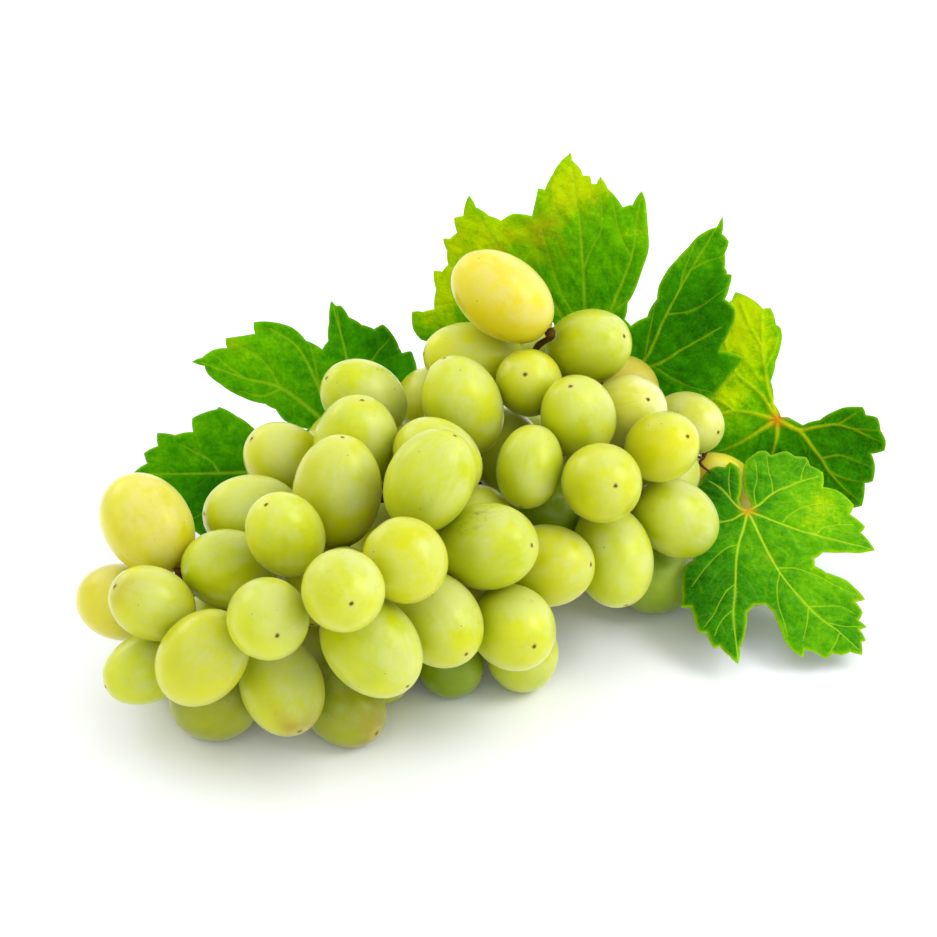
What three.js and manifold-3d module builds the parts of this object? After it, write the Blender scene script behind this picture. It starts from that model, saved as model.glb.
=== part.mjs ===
import * as THREE from "three";
import { ConvexGeometry } from "three/addons/geometries/ConvexGeometry.js";
import Module from "manifold-3d";

// A bunch of white table grapes lying on its side, with four vine leaves.
// Millimetres. +Z is up, the ground is Z = 0, and the bunch's long side runs along X.

// Facets
const BERRY_SEGMENTS = 9; // facets round a berry
const BERRY_RINGS = 6; // facets from the stalk end to the free end
const LIMB_SIDES = 4; // sides of a stalk's section
const LEAF_EDGE = 12; // longest edge inside a leaf blade
const LEAF_THICKNESS = 0.9;
const PETIOLE_RADIUS = [1.2, 1.0, 0.95, 0.95, 0.95, 1.0, 1.05, 1.2];
const FLAT_RADIUS = 2.1; // the small flat where a berry rests on the ground
const FLAT_SIDES = 8;

// Colours
const SKIN = {
  yellow: 0xd9d24a,
  green: 0xb9c93a,
  olive: 0xa3a83c,
  pale: 0xd3dc8c,
  deep: 0x6f8a24,
};
const STALK = 0x8a8a3c;
const LEAF_GREEN = { leaf_left: 0x3f8a17, leaf_top: 0x6fae1e, leaf_right_back: 0x6ab52a, leaf_right_front: 0x4f9a1f };

// Berries: name, colour, centre, direction from the stalk end to the free end, half length, half width.
const BERRIES = [
  ["berry_01", "yellow", [-80.23, -20.45, 43.93], [-0.565, 0.693, 0.448], 13.14, 10.34],
  ["berry_02", "yellow", [-86.54, -24.14, 24.8], [-0.901, 0.418, -0.115], 11.46, 9.02],
  ["berry_03", "green", [-77.71, -44.39, 37.95], [-0.789, -0.228, 0.571], 10.68, 8.41],
  ["berry_04", "green", [-60.81, -32.08, 39.26], [-0.846, -0.379, 0.376], 11.67, 9.19],
  ["berry_05", "green", [-56.14, -12.74, 41.58], [-0.939, -0.28, 0.199], 12, 9.45],
  ["berry_06", "green", [-65.78, -58.29, 32.65], [-0.615, -0.092, -0.783], 12.33, 9.71],
  ["berry_07", "green", [-79.64, -44.79, 20.47], [-0.863, -0.478, -0.163], 10.82, 8.03],
  ["berry_08", "olive", [-64.75, -42.05, 9], [-0.79, 0.515, -0.332], 11.49, 9.05],
  ["berry_09", "green", [-48.49, -51.55, 20.14], [0.339, -0.804, -0.489], 12.17, 9.58],
  ["berry_10", "green", [-47.39, -39.1, 53.32], [-0.365, -0.263, 0.893], 11.04, 8.7],
  ["berry_11", "green", [-36.11, -20.52, 52.82], [0.118, 0.188, 0.975], 13.77, 10.25],
  ["berry_12", "green", [-50.46, -64.68, 47.53], [0.204, -0.945, 0.255], 11.5, 9.06],
  ["berry_13", "green", [-33.48, -69.17, 58.12], [0.203, -0.924, 0.323], 11.61, 9.14],
  ["berry_14", "green", [-49.06, 6.81, 43.97], [-0.683, -0.185, 0.707], 11.34, 8.93],
  ["berry_15", "green", [-32.27, -0.08, 52.84], [0.108, -0.007, 0.994], 12.65, 9.96],
  ["berry_16", "green", [-35.34, 28.57, 34.7], [-0.625, 0.664, -0.41], 11.7, 9.21],
  ["berry_17", "green", [-14.73, -30.49, 62.11], [0.466, 0.109, 0.878], 12.84, 9.99],
  ["berry_18", "green", [-13.03, -9.78, 55.17], [-0.742, 0.638, 0.206], 11.5, 9.05],
  ["berry_19", "green", [-20.05, -53.65, 55.82], [0.6, -0.424, -0.678], 9.91, 9.44],
  ["berry_20", "green", [-1.71, -32.25, 45.57], [0.827, -0.457, 0.327], 12.67, 9.98],
  ["berry_21", "green", [-13.13, -46, 34.71], [0.548, -0.8, -0.245], 12.53, 9.87],
  ["berry_22", "green", [-27.75, -60.42, 37.52], [0.628, -0.695, -0.351], 13.45, 10.4],
  ["berry_23", "olive", [-35.01, -42.99, 8.79], [0.724, -0.63, -0.28], 11.34, 8.93],
  ["berry_24", "deep", [-10.11, -24.98, 7.2], [0.954, -0.16, -0.255], 7.9, 7.52],
  ["berry_25", "green", [6.81, -23.95, 10.2], [0.01, 0.307, -0.952], 10.74, 8.46],
  ["berry_26", "green", [4.19, -38.19, 27.25], [0.385, -0.905, 0.182], 12.26, 9.66],
  ["berry_27", "green", [12, -19.74, 32.03], [0.854, -0.431, 0.291], 12.22, 9.62],
  ["berry_28", "green", [28.05, -8.85, 27.69], [0.233, -0.763, -0.603], 12.72, 9.5],
  ["berry_29", "green", [24.98, -13.26, 50.78], [0.228, -0.856, 0.464], 11.76, 9.26],
  ["berry_30", "green", [8.41, -6.15, 50.83], [-0.201, -0.715, -0.669], 10.21, 7.66],
  ["berry_31", "green", [19.99, 7.71, 55.95], [-0.195, -0.309, 0.931], 11.31, 8.9],
  ["berry_32", "green", [8.55, 21.23, 57.18], [-0.114, -0.74, 0.663], 10.16, 8],
  ["berry_33", "green", [22.99, 33.9, 59.75], [0.729, -0.478, 0.491], 11.48, 9.04],
  ["berry_34", "pale", [32.03, 22.04, 47.94], [0.384, -0.595, 0.706], 11.8, 9.29],
  ["berry_35", "green", [39.59, 3.19, 50.46], [0.535, -0.558, 0.634], 10.43, 8.21],
  ["berry_36", "pale", [47.79, 37.76, 35.97], [0.733, -0.672, 0.105], 9.64, 7.59],
  ["berry_37", "green", [31.69, 45.36, 40.86], [0.51, 0.688, -0.516], 10.92, 8.6],
  ["berry_38", "green", [43.46, 4.08, 29.93], [0.759, 0.097, -0.643], 11.4, 8.98],
  ["berry_39", "pale", [41.37, 22.37, 30.86], [0.511, 0.728, -0.456], 10.44, 8.22],
  ["berry_40", "yellow", [56.89, 41.09, 13.87], [0.647, 0.042, -0.761], 11.32, 8.91],
  ["berry_41", "deep", [39.4, 9.95, 9.12], [0.546, 0.705, -0.452], 11.34, 8.93],
  ["berry_42", "deep", [13.27, 3.91, 31.76], [-0.2, -0.519, -0.831], 8.56, 8.09],
  ["berry_43", "green", [-4, -8.68, 37.75], [0.376, 0.804, -0.46], 10.43, 8.21],
  ["berry_44", "green", [-7.25, 11.84, 56.48], [-0.344, 0.224, 0.912], 12.58, 9.38],
  ["berry_45", "green", [-14.62, 40.24, 40.26], [-0.405, 0.799, -0.444], 11.16, 8.79],
  ["berry_46", "green", [-30.85, 20.62, 53.21], [-0.768, -0.159, 0.621], 11.36, 8.94],
  ["berry_47", "green", [-4.55, 34.69, 56.13], [-0.962, -0.167, 0.216], 12.66, 8.68],
  ["berry_48", "yellow", [2.25, 32.74, 74.31], [-0.799, 0.283, 0.531], 13.62, 9.72],
];

// Small side bunches at the back and the underside. Berries: centre, direction, half length, half width. Twigs: points and a radius at each.
const SPRIGS = {
  sprig_a: {
    berries: [
      [[-27.54, -25.25, 8.43], [0.323, -0.915, -0.24], 10.84, 8.63],
      [[-37.21, 7.49, 8.38], [-0.325, 0.934, 0.147], 10.18, 8.7],
      [[-45.51, -5.72, 21.73], [-0.823, 0.525, -0.215], 9.87, 8.18],
      [[-41.03, 12.08, 26.18], [-0.327, 0.945, 0.004], 10.23, 8.43],
      [[-21.25, -6.05, 9.38], [-0.111, 0.748, -0.654], 10.98, 8.68],
    ],
    twigs: [
      [[[-33.88, -3.75, 6.8], [-33.88, -5.25, 6.8], [-33.88, -8.25, 9.8], [-32.38, -9.75, 11.3], [-32.38, -12.75, 11.3]], [1.1, 1.1, 1.1, 1.1, 1.1]],
      [[[-35.38, -11.25, 24.8], [-32.38, -11.25, 21.8], [-32.38, -11.25, 11.3]], [1.1, 1.1, 1.1]],
      [[[-36.88, 0.75, 26.3], [-35.38, -2.25, 26.3], [-33.88, -3.75, 24.8], [-33.88, -5.25, 23.3], [-33.88, -11.25, 23.3]], [1.1, 1.1, 1.1, 1.1, 1.1]],
      [[[-20.38, -15.75, 18.8], [-21.88, -17.25, 17.3], [-26.38, -17.25, 18.8], [-32.38, -11.25, 18.8]], [0.73, 1.1, 1.1, 1.1]],
      [[[-32.38, -12.75, 11.3], [-30.78, -16.06, 11.18]], [0.85, 0.85]],
      [[[-20.38, -15.75, 18.8], [-20.11, -13.67, 16.39]], [0.85, 0.85]],
      [[[-33.88, -3.75, 6.8], [-34.16, -1.26, 7.35]], [0.85, 0.85]],
      [[[-36.88, 0.75, 26.3], [-37.94, 3.16, 26.15]], [0.85, 0.85]],
      [[[-35.38, -11.25, 24.8], [-38.05, -10.49, 23.67]], [0.85, 0.85]],
    ],
  },
  sprig_b: {
    berries: [
      [[-12.43, 3.68, 25.36], [0.305, 0.642, -0.703], 9.93, 7.91],
      [[-21.33, -12.05, 29.1], [0.192, -0.433, -0.88], 9.95, 8.23],
      [[-13.78, 18.1, 37.23], [-0.028, 0.999, -0.025], 11.2, 9.17],
      [[-41.5, -22.31, 29.24], [-0.06, -0.796, -0.602], 10.66, 8.57],
      [[-19.25, -29.96, 24.32], [0.882, -0.388, -0.266], 10.43, 8.41],
      [[-33.66, -38.02, 37.72], [0.171, -0.912, -0.372], 10.43, 8.49],
    ],
    twigs: [
      [[[-23.38, -6.75, 39.8], [-23.38, -5.25, 39.8], [-21.88, -5.25, 39.8], [-20.38, -3.75, 38.3], [-15.88, -3.75, 33.8]], [1.1, 1.1, 1.1, 1.1, 1.1]],
      [[[-12.88, 5.25, 35.3], [-17.38, 5.25, 35.3], [-20.38, 2.25, 35.3], [-21.88, 0.75, 36.8], [-21.88, -0.75, 38.3], [-20.38, -3.75, 38.3]], [1.1, 1.1, 1.1, 1.1, 1.1, 1.1]],
      [[[-41.38, -12.75, 36.8], [-39.88, -12.75, 38.3], [-33.88, -12.75, 38.3], [-30.88, -12.75, 41.3], [-27.88, -9.75, 44.3], [-23.38, -9.75, 44.3], [-23.38, -5.25, 39.8]], [1.1, 1.1, 1.1, 1.1, 1.1, 1.1, 1.1]],
      [[[-30.88, -24.75, 27.8], [-30.88, -17.25, 27.8], [-32.38, -15.75, 27.8], [-32.38, -14.25, 29.3], [-33.88, -12.75, 30.8], [-35.38, -12.75, 32.3], [-35.38, -12.75, 38.3]], [1.1, 1.1, 1.1, 1.1, 1.1, 1.1, 1.1]],
      [[[-32.38, -26.25, 39.8], [-27.88, -26.25, 38.3], [-26.38, -26.25, 36.8], [-24.88, -24.75, 35.3], [-24.88, -21.75, 32.3], [-29.38, -21.75, 27.8], [-30.88, -21.75, 27.8]], [1.1, 1.1, 1.1, 1.1, 1.1, 1.1, 1.1]],
      [[[-15.88, -3.75, 33.8], [-15.22, -2.18, 31.78]], [0.85, 0.85]],
      [[[-12.88, 5.25, 35.3], [-13.49, 7.7, 37.48]], [0.85, 0.85]],
      [[[-30.88, -24.75, 27.8], [-27.75, -26.22, 26.88]], [0.85, 0.85]],
      [[[-41.38, -12.75, 36.8], [-40.92, -14.46, 35.18]], [0.85, 0.85]],
      [[[-23.38, -6.75, 39.8], [-23.09, -8.08, 37.16]], [0.85, 0.85]],
      [[[-32.38, -26.25, 39.8], [-35.31, -29.23, 41.31]], [0.85, 0.85]],
    ],
  },
  sprig_c: {
    berries: [
      [[38.98, 31.52, 9.9], [-0.009, 0.772, -0.635], 11.65, 9.19],
      [[22.92, 20.32, 10.08], [-0.605, 0.317, -0.731], 11.43, 9.15],
      [[22.2, 23.49, 29.76], [-0.243, 0.931, -0.273], 11.11, 9.01],
      [[19.74, 40.49, 18.2], [-0.579, 0.805, -0.13], 9.81, 7.99],
      [[36.33, 45.54, 23.16], [0.207, 0.978, -0.01], 10.4, 8.28],
      [[12.21, 45.7, 48.59], [-0.154, -0.591, -0.792], 9.26, 7.55],
    ],
    twigs: [
      [[[32.12, 15.75, 18.8], [33.62, 15.75, 18.8], [39.62, 21.75, 18.8]], [1.1, 1.1, 1]],
      [[[24.62, 11.25, 33.8], [23.12, 9.75, 32.3], [26.12, 9.75, 29.3], [27.62, 11.25, 27.8], [29.12, 11.25, 26.3], [33.62, 11.25, 24.8], [35.12, 12.75, 23.3], [35.12, 14.25, 21.8], [35.12, 14.25, 20.3], [33.62, 15.75, 18.8]], [1.1, 1.1, 1.1, 1.1, 1.1, 1.1, 1.1, 1.1, 1.1, 1.1]],
      [[[26.12, 30.75, 20.3], [29.12, 27.75, 20.3], [32.12, 23.25, 17.3], [36.62, 18.75, 18.8]], [1.1, 1.1, 0.99, 1.1]],
      [[[33.62, 33.75, 23.3], [30.62, 32.25, 23.3], [27.62, 29.25, 20.3]], [1.1, 1.1, 1.1]],
      [[[14.12, 51.75, 57.8], [8.12, 51.75, 57.8], [6.62, 50.25, 57.8], [2.12, 45.75, 53.3], [2.12, 45.75, 51.8], [2.12, 41.25, 47.3], [6.62, 36.75, 42.8], [8.12, 36.75, 41.3], [12.62, 36.75, 41.3], [26.12, 36.75, 27.8], [30.62, 32.25, 23.3]], [1.1, 1.1, 1.1, 1.1, 1.1, 1.1, 1.1, 1.1, 1.1, 1.1, 1.1]],
      [[[39.62, 21.75, 18.8], [39.08, 23.14, 17.15]], [0.85, 0.85]],
      [[[32.12, 15.75, 18.8], [29.35, 16.95, 18.2]], [0.85, 0.85]],
      [[[24.62, 11.25, 33.8], [24.71, 13.9, 32.57]], [0.85, 0.85]],
      [[[33.62, 33.75, 23.3], [34.35, 36.14, 23.26]], [0.85, 0.85]],
      [[[26.12, 30.75, 20.3], [24.95, 33.25, 19.38]], [0.85, 0.85]],
      [[[14.12, 51.75, 57.8], [13.51, 50.7, 55.29]], [0.85, 0.85]],
    ],
  },
  sprig_d: {
    berries: [
      [[-2.52, -6.78, 9.88], [0.097, -0.755, -0.649], 11.47, 9.23],
      [[4.39, 12.82, 9.98], [-0.108, 0.701, -0.705], 11.15, 9.46],
      [[-15.87, 13.31, 8.66], [-0.681, 0.719, -0.138], 10.57, 8.98],
      [[-15.75, 33.02, 23.19], [-0.684, 0.727, 0.062], 11.27, 8.9],
      [[2.95, 33.87, 30.35], [-0.446, 0.577, 0.685], 11.23, 9.4],
    ],
    twigs: [
      [[[5.12, 3.75, 20.3], [-2.38, 3.75, 20.3], [-3.88, 3.75, 18.8]], [1.1, 1.1, 1.1]],
      [[[-6.88, 3.75, 9.8], [-6.88, 5.25, 11.3], [-6.88, 5.25, 14.3], [-3.88, 5.25, 17.3], [-3.88, 3.75, 18.8]], [0.88, 1.1, 1.1, 1.1, 1.1]],
      [[[-6.88, 23.25, 21.8], [-6.88, 21.75, 21.8], [-2.38, 17.25, 21.8], [-2.38, 8.25, 21.8], [-2.38, 6.75, 20.3], [-2.38, 3.75, 20.3]], [1.1, 1.1, 1.1, 1.1, 1.1, 1.1]],
      [[[8.12, 26.25, 21.8], [8.12, 21.75, 21.8], [6.62, 20.25, 20.3], [3.62, 20.25, 20.3], [2.12, 18.75, 21.8], [0.62, 17.25, 21.8], [-2.38, 17.25, 21.8]], [0.99, 1.1, 1.1, 1.1, 1.1, 1.1, 1.1]],
      [[[-3.88, 3.75, 18.8], [-3.55, 1.28, 17.16]], [0.85, 0.85]],
      [[[5.12, 3.75, 20.3], [5.51, 5.56, 17.63]], [0.85, 0.85]],
      [[[-6.88, 3.75, 9.8], [-9.22, 6.28, 10.35]], [0.85, 0.85]],
      [[[-6.88, 23.25, 21.8], [-8.6, 25.41, 22.54]], [0.85, 0.85]],
      [[[8.12, 26.25, 21.8], [7.59, 27.85, 23.21]], [0.85, 0.85]],
    ],
  },
  sprig_e: {
    berries: [
      [[4.94, 51.24, 23.27], [0.763, -0.359, 0.537], 10.3, 8.52],
      [[-7.59, 50.2, 10.83], [-0.777, -0.472, 0.415], 7.49, 6.44],
      [[-19.45, 52.67, 23.74], [-0.326, -0.157, 0.932], 10.48, 8.99],
      [[5.63, 41.67, 8.12], [0.793, -0.074, -0.605], 9.33, 7.93],
      [[-27.4, 30.73, 8.55], [0.794, -0.556, -0.246], 10.09, 8.81],
      [[-27.58, 47.92, 7.64], [0.718, 0.049, 0.694], 8.5, 7.49],
    ],
    twigs: [
      [[[-0.88, 54.75, 6.8], [-0.88, 57.75, 9.8], [-0.88, 57.75, 11.3], [-3.88, 57.75, 14.3], [-5.38, 56.25, 15.8]], [1.1, 1.1, 1.1, 1.1, 1.1]],
      [[[-15.88, 54.75, 12.8], [-12.88, 57.75, 12.8], [-9.88, 57.75, 15.8], [-6.88, 57.75, 15.8], [-5.38, 56.25, 15.8]], [0.86, 1.1, 1.1, 1.1, 1.1]],
      [[[-3.88, 42.75, 15.8], [-5.38, 42.75, 15.8], [-5.38, 45.75, 18.8], [-6.88, 47.25, 20.3], [-6.88, 53.25, 20.3], [-6.88, 57.75, 15.8]], [1.1, 1.1, 1.1, 1.1, 1.1, 1.1]],
      [[[-36.88, 36.75, 11.3], [-36.88, 38.25, 12.8], [-33.88, 41.25, 15.8], [-29.38, 41.25, 15.8], [-27.88, 42.75, 17.3], [-23.38, 42.75, 17.3], [-21.88, 42.75, 15.8], [-12.88, 42.75, 15.8], [-11.38, 41.25, 15.8], [-6.88, 41.25, 15.8], [-5.38, 42.75, 15.8]], [1.05, 1.1, 1.1, 1.1, 1.1, 1.1, 1.1, 1.1, 1.1, 1.1, 1.1]],
      [[[-35.38, 47.25, 0.8], [-36.88, 45.75, 2.3], [-36.88, 39.75, 8.3], [-36.88, 39.75, 11.3], [-36.88, 38.25, 12.8]], [1.1, 1.1, 1.1, 1.1, 1.1]],
      [[[-5.38, 56.25, 15.8], [-2.31, 54.66, 18.16]], [0.85, 0.85]],
      [[[-36.88, 36.75, 11.3], [-34.78, 35.89, 11.19]], [0.85, 0.85]],
      [[[-15.88, 54.75, 12.8], [-16.29, 54.19, 14.71]], [0.85, 0.85]],
      [[[-3.88, 42.75, 15.8], [-1.13, 42.3, 13.63]], [0.85, 0.85]],
      [[[-35.38, 47.25, 0.8], [-33.1, 47.55, 2.65]], [0.85, 0.85]],
      [[[-0.88, 54.75, 6.8], [-2.39, 53.36, 8.05]], [0.85, 0.85]],
    ],
  },
  sprig_f: {
    berries: [
      [[-73.32, -22.82, 9.98], [-0.801, 0.216, -0.559], 11.78, 9.61],
      [[-47.38, -21.35, 9.78], [0.765, -0.268, -0.585], 11.2, 9.52],
      [[-63.04, -7.12, 13.97], [0.129, 0.415, -0.901], 10.17, 8.57],
      [[-57.53, 7.48, 28.08], [-0.132, 0.977, 0.164], 9.68, 8.04],
    ],
    twigs: [
      [[[-57.88, -17.25, 17.3], [-59.38, -18.75, 17.3], [-59.38, -23.25, 17.3], [-62.38, -26.25, 17.3]], [1.1, 1.1, 1.1, 1.1]],
      [[[-63.88, -12.75, 24.8], [-63.88, -14.25, 24.8], [-59.38, -18.75, 20.3], [-59.38, -18.75, 17.3]], [1.1, 1.1, 1.1, 1.1]],
      [[[-56.38, -3.75, 26.3], [-56.38, -5.25, 26.3], [-62.38, -11.25, 26.3], [-63.88, -12.75, 24.8]], [1.1, 1.1, 1.1, 1.1]],
      [[[-62.38, -26.25, 17.3], [-64.53, -25.2, 16.47]], [0.85, 0.85]],
      [[[-57.88, -17.25, 17.3], [-55.34, -18.56, 16.22]], [0.85, 0.85]],
      [[[-63.88, -12.75, 24.8], [-64.25, -11.01, 22.41]], [0.85, 0.85]],
      [[[-56.38, -3.75, 26.3], [-56.35, -1.2, 26.62]], [0.85, 0.85]],
    ],
  },
};

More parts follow.
